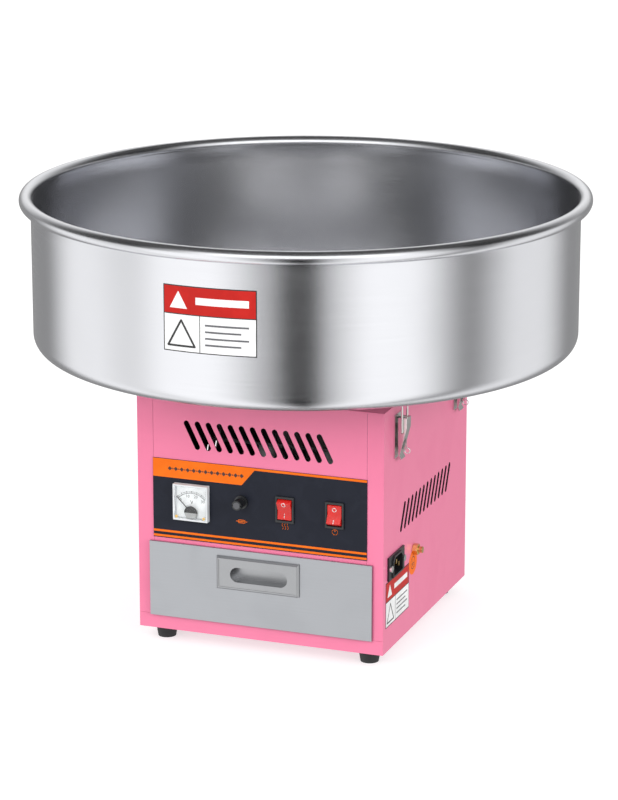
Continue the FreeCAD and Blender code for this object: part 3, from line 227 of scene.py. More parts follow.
def makeGrainGroup():
    group, source, result = newGroup(
        "brushedGrain",
        [("Vector", "Vector", None), ("Stretch", "Vector", (1, 1, 1)), ("Contrast", "Float", 0.2),
         ("Base", "Float", 0.3)],
        [("Height", "Float"), ("Roughness", "Float")])
    scaled = group.nodes.new("ShaderNodeVectorMath")
    scaled.operation = "MULTIPLY"
    group.links.new(source.outputs["Vector"], scaled.inputs[0])
    group.links.new(source.outputs["Stretch"], scaled.inputs[1])
    fine = addNoise(group, scaled.outputs[0], scale=1, detail=4, rough=0.65)
    shift = mathNode(group, "MULTIPLY", mathNode(group, "SUBTRACT", fine, 0.5), source.outputs["Contrast"])
    group.links.new(fine, result.inputs["Height"])
    group.links.new(mathNode(group, "ADD", shift, source.outputs["Base"]), result.inputs["Roughness"])
    return group


handling = {"detail": 5, "distortion": 0.6, "edge": (0.42, 0.68)}


def makeHandlingGroup():
    group, source, result = newGroup(
        "handlingMarks",
        [("Vector", "Vector", None), ("Size", "Float", 30), ("Amount", "Float", 0.1), ("Base", "Float", 0.3)],
        [("Roughness", "Float"), ("Mask", "Float")])
    noise = group.nodes.new("ShaderNodeTexNoise")
    group.links.new(source.outputs["Vector"], noise.inputs["Vector"])
    group.links.new(source.outputs["Size"], noise.inputs["Scale"])
    noise.inputs["Detail"].default_value = handling["detail"]
    noise.inputs["Distortion"].default_value = handling["distortion"]
    mask = falloff(group, noise.outputs["Fac"], *handling["edge"], 0, 1)
    rise = mathNode(group, "MULTIPLY", mask, source.outputs["Amount"])
    group.links.new(mathNode(group, "ADD", rise, source.outputs["Base"]), result.inputs["Roughness"])
    group.links.new(mask, result.inputs["Mask"])
    return group


brushedGrain = makeGrainGroup()
handlingMarks = makeHandlingGroup()


def newMaterial(name, **values):
    material = bpy.data.materials.new(name)
    material.use_nodes = True
    shader = material.node_tree.nodes["Principled BSDF"]
    for label, number in values.items():
        shader.inputs[label.replace("_", " ")].default_value = number
    return material, material.node_tree, shader


def objectPlace(tree):
    return tree.nodes.new("ShaderNodeTexCoord").outputs["Object"]


def addBump(tree, shader, height, strength, depth=0.0002):
    bump = tree.nodes.new("ShaderNodeBump")
    bump.inputs["Strength"].default_value = strength
    bump.inputs["Distance"].default_value = depth
    tree.links.new(height, bump.inputs["Height"])
    tree.links.new(bump.outputs["Normal"], shader.inputs["Normal"])


def placeGroup(tree, group, vector, **values):
    node = tree.nodes.new("ShaderNodeGroup")
    node.node_tree = group
    tree.links.new(vector, node.inputs["Vector"])
    for label, number in values.items():
        node.inputs[label].default_value = number
    return node


def toneShift(tree, shader, mask, tone, first, second, lift=0.0):
    mix = tree.nodes.new("ShaderNodeMix")
    mix.data_type = "RGBA"
    tree.links.new(mask, mix.inputs[0])
    mix.inputs[6].default_value = (*(c * first for c in tone), 1)
    mix.inputs[7].default_value = (*(min(1, c * second + lift) for c in tone), 1)
    tree.links.new(mix.outputs[2], shader.inputs["Base Color"])


def addRoughness(tree, shader, first, second):
    tree.links.new(mathNode(tree, "ADD", first.outputs["Roughness"], second.outputs["Roughness"]),
                   shader.inputs["Roughness"])


# distance from the axis, a little of the turn, and height, so the grain runs in rings
def ringPlace(tree, place, drift=0.0016):
    parts = tree.nodes.new("ShaderNodeSeparateXYZ")
    tree.links.new(place, parts.inputs[0])
    flat = tree.nodes.new("ShaderNodeVectorMath")
    flat.operation = "MULTIPLY"
    flat.inputs[1].default_value = (1, 1, 0)
    tree.links.new(place, flat.inputs[0])
    length = tree.nodes.new("ShaderNodeVectorMath")
    length.operation = "LENGTH"
    tree.links.new(flat.outputs[0], length.inputs[0])
    turned = tree.nodes.new("ShaderNodeCombineXYZ")
    angle = mathNode(tree, "ARCTAN2", parts.outputs["Y"], parts.outputs["X"])
    tree.links.new(length.outputs["Value"], turned.inputs["X"])
    tree.links.new(mathNode(tree, "MULTIPLY", angle, drift), turned.inputs["Y"])
    tree.links.new(parts.outputs["Z"], turned.inputs["Z"])
    return turned.outputs[0]


def spunMetal(name, tone, rough, lines, grain=0.14):
    material, tree, shader = newMaterial(name, Metallic=1.0, Anisotropic=0.8, Anisotropic_Rotation=0.25)
    place = objectPlace(tree)
    rings = placeGroup(tree, brushedGrain, ringPlace(tree, place), Stretch=(lines, lines, lines),
                       Contrast=grain, Base=rough)
    addRoughness(tree, shader, rings, placeGroup(tree, handlingMarks, place, Size=7.0, Amount=0.04, Base=0))
    toneShift(tree, shader, rings.outputs["Height"], tone, 0.93, 1.05)
    addBump(tree, shader, rings.outputs["Height"], 0.12)
    tangent = tree.nodes.new("ShaderNodeTangent")
    tangent.direction_type = "RADIAL"
    tangent.axis = "Z"
    tree.links.new(tangent.outputs[0], shader.inputs["Tangent"])
    return material


def brushedMetal(name, tone, rough, stretch, grain=0.16, bump=0.1):
    material, tree, shader = newMaterial(name, Metallic=1.0)
    place = objectPlace(tree)
    lines = placeGroup(tree, brushedGrain, place, Stretch=stretch, Contrast=grain, Base=rough)
    addRoughness(tree, shader, lines, placeGroup(tree, handlingMarks, place, Size=22.0, Amount=0.05, Base=0))
    toneShift(tree, shader, lines.outputs["Height"], tone, 0.9, 1.06)
    addBump(tree, shader, lines.outputs["Height"], bump)
    return material


def glossPaint(name, tone, rough, coat, peel=0.05):
    material, tree, shader = newMaterial(name, Coat_Weight=coat, Coat_Roughness=0.12)
    place = objectPlace(tree)
    marks = placeGroup(tree, handlingMarks, place, Size=18.0, Amount=0.07, Base=rough)
    tree.links.new(marks.outputs["Roughness"], shader.inputs["Roughness"])
    toneShift(tree, shader, marks.outputs["Mask"], tone, 1, 0.97)
    addBump(tree, shader, addNoise(tree, place, scale=900, detail=1), peel)
    return material


def mouldedPlastic(name, tone, rough, texture=2600, bump=0.15, shine=0.5):
    material, tree, shader = newMaterial(name, Specular_IOR_Level=shine)
    place = objectPlace(tree)
    marks = placeGroup(tree, handlingMarks, place, Size=60.0, Amount=0.12, Base=rough)
    tree.links.new(marks.outputs["Roughness"], shader.inputs["Roughness"])
    toneShift(tree, shader, marks.outputs["Mask"], tone, 1, 1.12, lift=0.003)
    addBump(tree, shader, addNoise(tree, place, texture), bump, depth=0.0001)
    return material


def makeGlass(name):
    material, tree, shader = newMaterial(name, Transmission_Weight=1.0, IOR=1.3, Metallic=0.0)
    shader.inputs["Base Color"].default_value = (0.97, 0.98, 0.99, 1)
    marks = placeGroup(tree, handlingMarks, objectPlace(tree), Size=90.0, Amount=0.05, Base=0.02)
    tree.links.new(marks.outputs["Roughness"], shader.inputs["Roughness"])
    return material


finishes = {
    "pink_paint": glossPaint("pinkPaint", (0.9, 0.21, 0.37), 0.36, 0.3),
    "bowl_steel": spunMetal("spunSteel", (0.65, 0.655, 0.68), 0.22, 2600, 0.1),
    "drawer_steel": brushedMetal("drawerSteel", (0.385, 0.395, 0.415), 0.36, (14, 900, 1600)),
    "plated_steel": brushedMetal("platedSteel", (0.72, 0.71, 0.69), 0.2, (700, 700, 700), 0.12, 0.05),
    "motor_steel": brushedMetal("motorSteel", (0.34, 0.35, 0.36), 0.36, (400, 400, 60)),
    "aluminium": spunMetal("turnedAluminium", (0.78, 0.78, 0.79), 0.22, 1800),
    "cast_alloy": mouldedPlastic("castAlloy", (0.42, 0.42, 0.43), 0.45, 900, 0.4),
    "foot_rubber": mouldedPlastic("footRubber", (0.012, 0.012, 0.013), 0.55, 1500, 0.3),
    "seal_rubber": mouldedPlastic("sealRubber", (0.03, 0.03, 0.03), 0.6),
    "black_plastic": mouldedPlastic("blackPlastic", (0.014, 0.015, 0.017), 0.32),
    "overlay_film": mouldedPlastic("overlayFilm", (0.013, 0.015, 0.024), 0.42, 1800, 0.04, 0.16),
    "rocker_red": mouldedPlastic("rockerRed", (0.62, 0.012, 0.008), 0.16, 700, 0.02),
    "meter_white": mouldedPlastic("meterWhite", (0.78, 0.8, 0.82), 0.14, 800, 0.02),
    "dial_card": mouldedPlastic("dialCard", (0.86, 0.87, 0.86), 0.5),
    "needle_black": mouldedPlastic("needleBlack", (0.01, 0.01, 0.01), 0.4),
    "clear_window": makeGlass("clearWindow"),
    "brass": brushedMetal("turnedBrass", (0.8, 0.55, 0.2), 0.24, (600, 600, 600), 0.1, 0.05),
    "carbon": mouldedPlastic("carbonBlock", (0.03, 0.03, 0.032), 0.5, 900, 0.4),
    "phenolic": mouldedPlastic("phenolic", (0.09, 0.03, 0.012), 0.35),
    "element": mouldedPlastic("elementSheath", (0.09, 0.075, 0.065), 0.5, 700, 0.4),
}
inkOrange = mouldedPlastic("inkOrange", (0.93, 0.17, 0.008), 0.45, 1800, 0.05, 0.2)
inkRed = mouldedPlastic("inkRed", (0.5, 0.014, 0.01), 0.4, 1500, 0.03, 0.25)
inkWhite = mouldedPlastic("inkWhite", (0.88, 0.88, 0.88), 0.3, 1500, 0.03)
inkBlack = mouldedPlastic("inkBlack", (0.012, 0.012, 0.012), 0.35, 1500, 0.03)
inkGrey = mouldedPlastic("inkGrey", (0.12, 0.12, 0.13), 0.35, 1500, 0.03)
inkDark = mouldedPlastic("inkDark", (0.05, 0.016, 0.01), 0.4, 1500, 0.03)
pullSteel = brushedMetal("pullSteel", (0.34, 0.345, 0.355), 0.3, (900, 900, 900), 0.1, 0.04)
capFace = mouldedPlastic("capFace", (0.09, 0.09, 0.1), 0.25, 900, 0.03)
meterSkirt = mouldedPlastic("meterSkirt", (0.42, 0.42, 0.41), 0.3, 900, 0.05)
# dark colour for painted shade inside the cabinet and on its vent slot walls
paintedShadeInside = mouldedPlastic("paintedShadeInside", (0.03, 0.012, 0.016), 0.6, 900, 0.1)

for name, piece in nodes.items():
    for slot in piece.material_slots:
        slot.material = finishes[slotOf[name]]
print("materials ready")


# every new piece gets its body, finish and slot here
def newPiece(name, mesh, body, material):
    piece = bpy.data.objects.new(name, mesh)
    scene.collection.objects.link(piece)
    mesh.materials.clear()
    mesh.materials.append(material)
    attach(piece, body)
    return piece


def smoothByAngle(mesh, degrees):
    mesh.shade_smooth()
    mesh.set_sharp_from_angle(angle=math.radians(degrees))


def meshFrom(name, shape):
    bmesh.ops.recalc_face_normals(shape, faces=shape.faces)
    mesh = bpy.data.meshes.new(name)
    shape.to_mesh(mesh)
    shape.free()
    return mesh


# faces between two closed loops of points
def joinLoops(shape, here, there):
    count = len(here)
    for i in range(count):
        j = (i + 1) % count
        shape.faces.new((here[i], there[i], there[j], here[j]))


def applied(piece):
    bpy.context.view_layer.update()
    ready = piece.evaluated_get(bpy.context.evaluated_depsgraph_get())
    mesh = bpy.data.meshes.new_from_object(ready)
    piece.modifiers.clear()
    old = piece.data
    piece.data = mesh
    bpy.data.meshes.remove(old)


softEdge = {"merge": 2e-6, "flat": 0.8, "corner": 34, "smooth": 50, "segments": 2, "weight": 100}


def softened(name, width, finish=None):
    mesh = nodes[name].data.copy()
    shape = bmesh.new()
    shape.from_mesh(mesh)
    bmesh.ops.remove_doubles(shape, verts=shape.verts, dist=softEdge["merge"])
    bmesh.ops.join_triangles(shape, faces=shape.faces, angle_face_threshold=math.radians(softEdge["flat"]),
                             angle_shape_threshold=math.pi)
    shape.to_mesh(mesh)
    shape.free()
    piece = bpy.data.objects.new(name + "_finish", mesh)
    scene.collection.objects.link(piece)
    bevel = piece.modifiers.new("edges", "BEVEL")
    bevel.width = width * mm
    bevel.segments = softEdge["segments"]
    bevel.limit_method = "ANGLE"
    bevel.angle_limit = math.radians(softEdge["corner"])
    bevel.use_clamp_overlap = True
    smoothByAngle(mesh, softEdge["smooth"])
    weighted = piece.modifiers.new("flats", "WEIGHTED_NORMAL")
    weighted.keep_sharp = True
    weighted.weight = softEdge["weight"]
    applied(piece)
    piece.data.materials.clear()
    piece.data.materials.append(finish or finishes[slotOf[name]])
    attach(piece, bodyOf[name])
    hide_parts(name)
    return piece


# thin flat shapes raised from a surface, from their outlines on it
def prisms(name, outlines, place, body, material, thick, lift=0.0):
    shape = bmesh.new()
    for outline in outlines:
        low = [shape.verts.new(place(x, y, lift)) for x, y in outline]
        high = [shape.verts.new(place(x, y, lift + thick)) for x, y in outline]
        shape.faces.new(high)
        shape.faces.new(list(reversed(low)))
        joinLoops(shape, low, high)
    newPiece(name, meshFrom(name, shape), body, material)


def onFront(depth):
    return lambda x, z, out: Vector((x, -depth - out, z)) * mm


def onSide(reach):
    return lambda y, z, out: Vector((reach + out, y, z)) * mm


def bar(x0, y0, x1, y1):
    return [(x0, y0), (x1, y0), (x1, y1), (x0, y1)]


def stroke(points, width, closed=False, overrun=0.3):
    pieces = []
    count = len(points) if closed else len(points) - 1
    for i in range(count):
        a = Vector(points[i])
        b = Vector(points[(i + 1) % len(points)])
        along = (b - a).normalized() * width * overrun
        across = Vector((-(b - a).y, (b - a).x)).normalized() * width / 2
        a, b = a - along, b + along
        pieces.append([tuple(a - across), tuple(b - across), tuple(b + across), tuple(a + across)])
    return pieces


def arcPoints(x, y, radius, start, end, steps):
    turns = [math.radians(start + (end - start) * i / steps) for i in range(steps + 1)]
    return [(x + radius * math.cos(turn), y + radius * math.sin(turn)) for turn in turns]


def disc(x, y, radius, steps):
    return arcPoints(x, y, radius, 0, 360 - 360 / steps, steps - 1)


def size(name):
    low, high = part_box(name)
    return low / mm, high / mm


def middleOf(name):
    low, high = size(name)
    return (low + high) / 2


# one spun sheet: neck, floor, wall and rolled rim
bowlShape = {
    "sheet": 1.0, "corner": 14, "bead": 6.1, "wallInset": 10.5, "hole": 34, "upstand": 8, "neckBend": 2,
    "rollOut": (176, -196), "rollBack": (-196, 184), "steps": 300, "smooth": 40,
}


def bowlOutline():
    low, high = size("bowl")
    thick, corner, bead = bowlShape["sheet"], bowlShape["corner"], bowlShape["bead"]
    hole, bend = bowlShape["hole"], bowlShape["neckBend"]
    wall = high.x - bowlShape["wallInset"]
    floor, lip = low.z, low.z + bowlShape["upstand"]
    rimX, rimZ = high.x - bead, high.z - bead
    turnX, turnZ = wall - corner, floor + corner
    # down the inside of the neck, out along the underside, up the wall and round the rim
    outside = [(hole, lip), (hole, floor + bend), (hole + 0.6, floor + 0.6), (hole + bend, floor)]
    outside += [(hole + bend + (turnX - hole - bend) * i / 10, floor) for i in range(1, 10)]
    outside += arcPoints(turnX, turnZ, corner, -90, 0, 14)
    outside += [(wall, turnZ + (rimZ - turnZ) * i / 8) for i in range(1, 8)]
    outside += arcPoints(rimX, rimZ, bead - thick, *bowlShape["rollOut"], 40)
    # and back along the inner face
    inside = arcPoints(rimX, rimZ, bead, *bowlShape["rollBack"], 44)
    inside += [(wall - thick, turnZ + (rimZ - 2 - turnZ) * i / 8) for i in range(8, 0, -1)]
    inside += arcPoints(turnX, turnZ, corner - thick, 0, -90, 12)
    foot = hole + bend + thick
    inside += [(foot + (turnX - foot) * i / 10, floor + thick) for i in range(9, 0, -1)]
    inside += [(foot, floor + thick), (hole + 1.4, floor + thick + 0.5), (hole + thick, floor + 3),
               (hole + thick, lip)]
    return outside + inside


def makeBowl():
    outline = bowlOutline()
    steps = bowlShape["steps"]
    shape = bmesh.new()
    rings = []
    for i in range(steps):
        turn = 2 * math.pi * i / steps
        across, deep = math.cos(turn) * mm, math.sin(turn) * mm
        rings.append([shape.verts.new((r * across, r * deep, z * mm)) for r, z in outline])
    for i in range(steps):
        joinLoops(shape, rings[i], rings[(i + 1) % steps])
    mesh = meshFrom("bowl_spun", shape)
    smoothByAngle(mesh, bowlShape["smooth"])
    piece = newPiece("bowl_spun", mesh, "chassis", finishes["bowl_steel"])
    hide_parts("bowl")


makeBowl()
print("bowl made")

# how far each piece's edges are rounded, in millimetres
edgeRadii = {
    "left_side_panel": 0.5, "right_side_panel": 0.5, "front_panel": 0.35, "rear_panel": 0.35, "top_plate": 0.4,
    "base_tray": 0.5, "drawer_front": 0.7, "drawer_box": 0.3, "drawer_handle": 0.5, "voltmeter_case": 0.9,
    "heat_switch_body": 0.6, "power_switch_body": 0.6, "heat_rocker": 0.5, "power_rocker": 0.5,
    "fuse_holder": 0.4, "fuse_cap": 0.4, "inlet_body": 0.5, "earth_nut": 0.4, "latch_bases": 0.2,
    "bowl_keepers": 0.2, "rubber_feet": 0.9, "head_cover": 0.8, "head_dish": 0.5, "earth_stud": 0.4,
    "brush_holder": 0.6, "terminal_block": 0.8, "motor_end_bells": 1.2, "motor_capacitor": 1.2,
    "cabinet_screws": 0.45, "head_screws": 0.4, "drive_shaft": 0.5,
}
leverEdge = 0.25
levers = [name for name in nodes if name.startswith("latch_lever")]
for name in levers:
    edgeRadii[name] = leverEdge
otherFinish = {"drawer_handle": pullSteel}
finished = {name: softened(name, radius, otherFinish.get(name)) for name, radius in edgeRadii.items()}
print("edges rounded")

# painted shade: the inside faces of the cabinet and the walls of its vent slots get a dark colour where shade
# falls
paintedShadeZone = {
    "walls": ("left_side_panel", "right_side_panel", "front_panel", "rear_panel"),
    "skin": 1.0 * mm, "border": 9.0 * mm, "share": 0.9, "square": 0.3,
}


def isInside(name, spot, normal, cabinet, panel):
    (low, high), (bottom, top) = cabinet, panel
    skin, border, share, square = paintedShadeZone["skin"], paintedShadeZone["border"], paintedShadeZone["share"], paintedShadeZone["square"]
    within = low.x + skin < spot.x < high.x - skin and low.y + skin < spot.y < high.y - skin
    if name == "top_plate":
        return normal.z < -0.5
    if name == "base_tray":
        return within and normal.z > -0.5 and spot.z > bottom.z + skin
    if "side" in name:
        slotWall = abs(normal.x) < square and abs(spot.y) < high.y * share and spot.z > bottom.z + border
    else:
        slotWall = abs(normal.y) < square and low.x * share < spot.x < high.x * share
    inward = within and spot.x * normal.x + spot.y * normal.y < 0
    return inward or (slotWall and spot.z < top.z - border)


def paintShadeInside():
    shell = [size(name) for name in paintedShadeZone["walls"]]
    low = Vector((min(a.x for a, b in shell), min(a.y for a, b in shell))) * mm
    high = Vector((max(b.x for a, b in shell), max(b.y for a, b in shell))) * mm
    for name in paintedShadeZone["walls"] + ("top_plate", "base_tray"):
        mesh = finished[name].data
        mesh.materials.append(paintedShadeInside)
        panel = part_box(name)
        for face in mesh.polygons:
            if isInside(name, face.center, face.normal, (low, high), panel):
                # these faces take the painted shade colour
                face.material_index = 1


paintShadeInside()

# print on the panel film: an orange band that steps down, two lines and a symbol under each control
film = {"lift": 0.08, "edge": 102.6, "band": (158.6, 175.8), "thin": 173.6, "diagonal": (-16.6, -4.0),
        "lines": ((106.5, 108.5), (101.8, 103.8)), "iconHeight": 124.5, "iconSize": 2.6, "iconLine": 0.55,
        "fuse": (2, 1.2, 0.5), "wave": (0.9, 0.6), "powerArc": (125, 415, 22), "powerStem": (0.2, 1.25)}


def fuseIcon(x):
    half, line, level = film["iconSize"], film["iconLine"], film["iconHeight"]
    lead, wide, tall = (half * share for share in film["fuse"])
    case = bar(x - wide, level - tall, x + wide, level + tall)
    return stroke([(x - lead, level), (x + lead, level)], line) + stroke(case, line, True)


def heatIcon(x):
    half, level = film["iconSize"], film["iconHeight"]
    spread, swing = film["wave"]
    strokes = []
    for step in (-1, 0, 1):
        middle = x + step * half * spread
        wave = [(middle + math.sin(i * math.pi / 5) * swing, level + half * (i / 5 - 1)) for i in range(11)]
        strokes += stroke(wave, film["iconLine"])
    return strokes


def powerIcon(x):
    half, line, level = film["iconSize"], film["iconLine"], film["iconHeight"]
    stem = [(x, level + half * share) for share in film["powerStem"]]
    return stroke(arcPoints(x, level, half, *film["powerArc"]), line) + stroke(stem, line)


def makeFilmPrint():
    front = onFront(-size("control_overlay")[0].y)
    edge, lift, thin = film["edge"], film["lift"], film["thin"]
    bottom, top = film["band"]
    near, far = film["diagonal"]
    band = [(-edge, bottom), (near, bottom), (far, thin), (edge, thin), (edge, top), (-edge, top)]
    lines = [bar(-edge, a, edge, b) for a, b in film["lines"]]
    prisms("film_bands", [band] + lines, front, "chassis", inkOrange, lift)
    icons = fuseIcon(middleOf("fuse_cap").x) + heatIcon(middleOf("heat_switch_body").x)
    icons += powerIcon(middleOf("power_switch_body").x)
    prisms("film_icons", icons, front, "chassis", inkOrange, lift)


makeFilmPrint()


# geometry nodes for marks in a row and round an arc

def newTree(name, *inputs):
    tree = bpy.data.node_groups.new(name, "GeometryNodeTree")
    for label, kind in inputs + (("Material", "Material"),):
        tree.interface.new_socket(name=label, in_out="INPUT", socket_type="NodeSocket" + kind)
    tree.interface.new_socket(name="Geometry", in_out="OUTPUT", socket_type="NodeSocketGeometry")
    return tree, tree.nodes.new("NodeGroupInput").outputs


def axisValues(tree, given, **labels):
    vector = tree.nodes.new("ShaderNodeCombineXYZ")
    for axis, label in labels.items():
        tree.links.new(given[label], vector.inputs[axis])
    return vector.outputs[0]


def placeMarks(tree, given, points, sizes, rotation):
    mark = tree.nodes.new("GeometryNodeMeshCube")
    tree.links.new(sizes, mark.inputs["Size"])
    placed = tree.nodes.new("GeometryNodeInstanceOnPoints")
    tree.links.new(points, placed.inputs["Points"])
    tree.links.new(mark.outputs["Mesh"], placed.inputs["Instance"])
    tree.links.new(rotation, placed.inputs["Rotation"])
    whole = tree.nodes.new("GeometryNodeRealizeInstances")
    tree.links.new(placed.outputs["Instances"], whole.inputs[0])
    coat = tree.nodes.new("GeometryNodeSetMaterial")
    tree.links.new(whole.outputs[0], coat.inputs["Geometry"])
    tree.links.new(given["Material"], coat.inputs["Material"])
    tree.links.new(coat.outputs[0], tree.nodes.new("NodeGroupOutput").inputs[0])
    return tree


def rowTree():
    tree, given = newTree("rowOfMarks", ("Count", "Int"), ("Spacing", "Float"), ("Width", "Float"),
                          ("Height", "Float"), ("Turn", "Float"), ("Thickness", "Float"))
    row = tree.nodes.new("GeometryNodeMeshLine")
    tree.links.new(given["Count"], row.inputs["Count"])
    tree.links.new(axisValues(tree, given, X="Spacing"), row.inputs["Offset"])
    return placeMarks(tree, given, row.outputs["Mesh"],
                      axisValues(tree, given, X="Width", Y="Height", Z="Thickness"),
                      axisValues(tree, given, Z="Turn"))


def ringTree():
    tree, given = newTree("ringOfMarks", ("Count", "Int"), ("Radius", "Float"), ("Start", "Float"),
                          ("Sweep", "Float"), ("Length", "Float"), ("Width", "Float"), ("Thickness", "Float"))
    arc = tree.nodes.new("GeometryNodeCurveArc")
    for socket, label in (("Resolution", "Count"), ("Radius", "Radius"), ("Start Angle", "Start"),
                          ("Sweep Angle", "Sweep")):
        tree.links.new(given[label], arc.inputs[socket])
    points = tree.nodes.new("GeometryNodeCurveToPoints")
    points.mode = "EVALUATED"
    tree.links.new(arc.outputs["Curve"], points.inputs["Curve"])
    align = tree.nodes.new("FunctionNodeAlignRotationToVector")
    align.axis = "X"
    align.pivot_axis = "Z"
    tree.links.new(tree.nodes.new("GeometryNodeInputPosition").outputs[0], align.inputs["Vector"])
    return placeMarks(tree, given, points.outputs["Points"],
                      axisValues(tree, given, X="Length", Y="Width", Z="Thickness"), align.outputs["Rotation"])


rowOfMarks = rowTree()
ringOfMarks = ringTree()


def grown(name, tree, matrix, body, material, slotName, **values):
    piece = bpy.data.objects.new(name, bpy.data.meshes.new(name))
    scene.collection.objects.link(piece)
    modifier = piece.modifiers.new("marks", "NODES")
    modifier.node_group = tree
    for item in tree.interface.items_tree:
        if item.in_out == "INPUT":
            modifier[item.identifier] = material if item.name == "Material" else values[item.name]
    applied(piece)
    piece.data.transform(matrix)
    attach(piece, body)


def frontMatrix(x, depth, z):
    return Matrix.Translation(Vector((x, -depth, z)) * mm) @ Matrix.Rotation(math.pi / 2, 4, "X")


# a row of plain diamonds with beads between them
ornament = {"count": 13, "spacing": 5.8, "start": -86.0, "height": 167.2, "mark": 2.9, "bead": 1.1, "thick": 0.1}


def ornamentRow(name, count, start, width, turn):
    depth = -size("control_overlay")[0].y + film["lift"]
    grown(name, rowOfMarks, frontMatrix(start, depth, ornament["height"]), "chassis", inkDark, "overlay_film",
          Count=count, Spacing=ornament["spacing"] * mm, Width=width * mm, Height=width * mm, Turn=turn,
          Thickness=ornament["thick"] * mm)


count, start = ornament["count"], ornament["start"]
ornamentRow("ornament_marks", count, start, ornament["mark"], math.pi / 4)
ornamentRow("ornament_beads", count - 1, start + ornament["spacing"] / 2, ornament["bead"], 0.0)
print("panel film printed")

meter = {
    "radius": 17.8, "start": 135, "end": 45, "line": 0.35, "fineLine": 0.21, "arcGap": 1.7, "steps": 30,
    "ticks": (("dial_ticks", 7, 2.4, 0.4), ("dial_fine_ticks", 31, 1.3, 0.2)),  # count, length, width
    "numbers": ("0", "10", "20", "30"), "numberSize": 2.7, "numberInset": 2.6,
    "letter": "V", "letterSize": 3.4, "letterRise": 9.2,
    "cover": 6.4, "clearOfNeedle": 0.25, "skirtTaper": 0.62, "skirtFoot": 0.4,
    "screwInset": 3.5, "screw": 1.35, "screwHead": 0.3, "slot": (0.8, 0.16),
}
ink = {"sizePerHeight": 1.4, "thick": 0.03, "smooth": 3}


def lettering(name, text, height, x, z, place):
    data = bpy.data.curves.new(name, "FONT")
    data.body = text
    data.size = height * ink["sizePerHeight"]
    data.align_x = "CENTER"
    data.align_y = "CENTER"
    data.extrude = ink["thick"]
    data.resolution_u = ink["smooth"]
    source = bpy.data.objects.new(name + "_text", data)
    scene.collection.objects.link(source)
    bpy.context.view_layer.update()
    mesh = bpy.data.meshes.new_from_object(source.evaluated_get(bpy.context.evaluated_depsgraph_get()))
    bpy.data.objects.remove(source)
    for point in mesh.vertices:
        point.co = place(x + point.co.x, z + point.co.y, ink["thick"] + point.co.z)
    newPiece(name, mesh, "chassis", inkBlack)


def makeDial(x, z, depth):
    front = onFront(depth)
    radius, line, steps = meter["radius"], meter["line"], meter["steps"]
    start, end = meter["start"], meter["end"]
    arcs = stroke(arcPoints(x, z, radius, start, end, steps), line)
    arcs += stroke(arcPoints(x, z, radius + meter["arcGap"], start, end, steps), meter["fineLine"])
    prisms("dial_arcs", arcs, front, "chassis", inkBlack, 0.04)
    for name, count, length, width in meter["ticks"]:
        grown(name, ringOfMarks, frontMatrix(x, depth + 0.03, z), "chassis", inkBlack, "dial_card", Count=count,
              Radius=(radius + length / 2) * mm, Start=math.radians(end), Sweep=math.radians(start - end),
              Length=length * mm, Width=width * mm, Thickness=0.06 * mm)
    reach = radius - meter["numberInset"]
    for i, text in enumerate(meter["numbers"]):
        turn = math.radians(start + (end - start) * i / (len(meter["numbers"]) - 1))
        lettering("dial_number_%d" % i, text, meter["numberSize"], x + reach * math.cos(turn),
                  z + reach * math.sin(turn), front)
    lettering("dial_letter", meter["letter"], meter["letterSize"], x, z + meter["letterRise"], front)


# the half round cover over the needle's pivot, and the pale skirt below it
def makeNeedleCover(x, z, foot):
    clear = onFront(-size("voltmeter_needle")[0].y + meter["clearOfNeedle"])
    cover, taper = meter["cover"], meter["cover"] * meter["skirtTaper"]
    prisms("meter_shroud", [arcPoints(x, z, cover, 0, 180, 24)], clear, "chassis", inkBlack, 0.6)
    skirt = [(x - cover, z), (x - taper, foot), (x + taper, foot), (x + cover, z)]
    prisms("meter_skirt", [skirt], clear, "chassis", meterSkirt, 0.5)


def makeMeterScrews():
    low, high = size("voltmeter_case")
    inset, head, rise = meter["screwInset"], meter["screw"], meter["screwHead"]
    spots = [(low.x + inset, low.z + inset), (high.x - inset, low.z + inset)]
    prisms("meter_screws", [disc(a, b, head, 20) for a, b in spots], onFront(-low.y - rise), "chassis",
           finishes["brass"], 2 * rise)
    # the screw slots are black bars on the heads: painted shade in place of cut grooves
    reach, half = head * meter["slot"][0], meter["slot"][1]
    slotShades = [bar(a - reach, b - half, a + reach, b + half) for a, b in spots]
    prisms("meter_screw_slot_shade", slotShades, onFront(-low.y + rise - 0.01), "chassis", inkBlack, 0.05)


def makeMeterFace():
    low, high = size("voltmeter_dial")
    x, z = (low.x + high.x) / 2, joints["needle_swing"]["pos_m"][2] / mm
    makeDial(x, z, -low.y)
    makeNeedleCover(x, z, low.z + meter["skirtFoot"])
    makeMeterScrews()


makeMeterFace()
print("voltmeter face made")

marks = {"size": 1.75, "line": 0.55, "away": 5.4, "thick": 0.08, "sunk": 0.02, "farFront": -0.3}


# a place on the curved front of a piece, found along the depth
def drapedOn(piece, lift):
    mesh = piece.data
    tree = BVHTree.FromPolygons([v.co for v in mesh.vertices], [tuple(f.vertices) for f in mesh.polygons])

    def place(x, z, out):
        hit = tree.ray_cast(Vector((x * mm, marks["farFront"], z * mm)), Vector((0, 1, 0)))[0]
        return hit + Vector((0, -(out + lift) * mm, 0))
    return place


def makeSwitchMarks():
    radius, line, away = marks["size"], marks["line"], marks["away"]
    for name in ("heat_rocker", "power_rocker"):
        middle = middleOf(name)
        x, z = middle.x, middle.z
        ring = stroke(arcPoints(x, z + away, radius, 0, 360 - 18, 19), line, True)
        foot = z - away - radius
        stem = stroke([(x, foot + radius * i / 4) for i in range(9)], line * 1.1)
        prisms(name + "_marks", ring + stem, drapedOn(finished[name], -marks["sunk"]), bodyOf[name], inkWhite,
               marks["thick"])


cap = {"knurls": 26, "knurl": (0.5, 0.55), "share": 0.55, "setBack": 1.6, "face": 0.72}


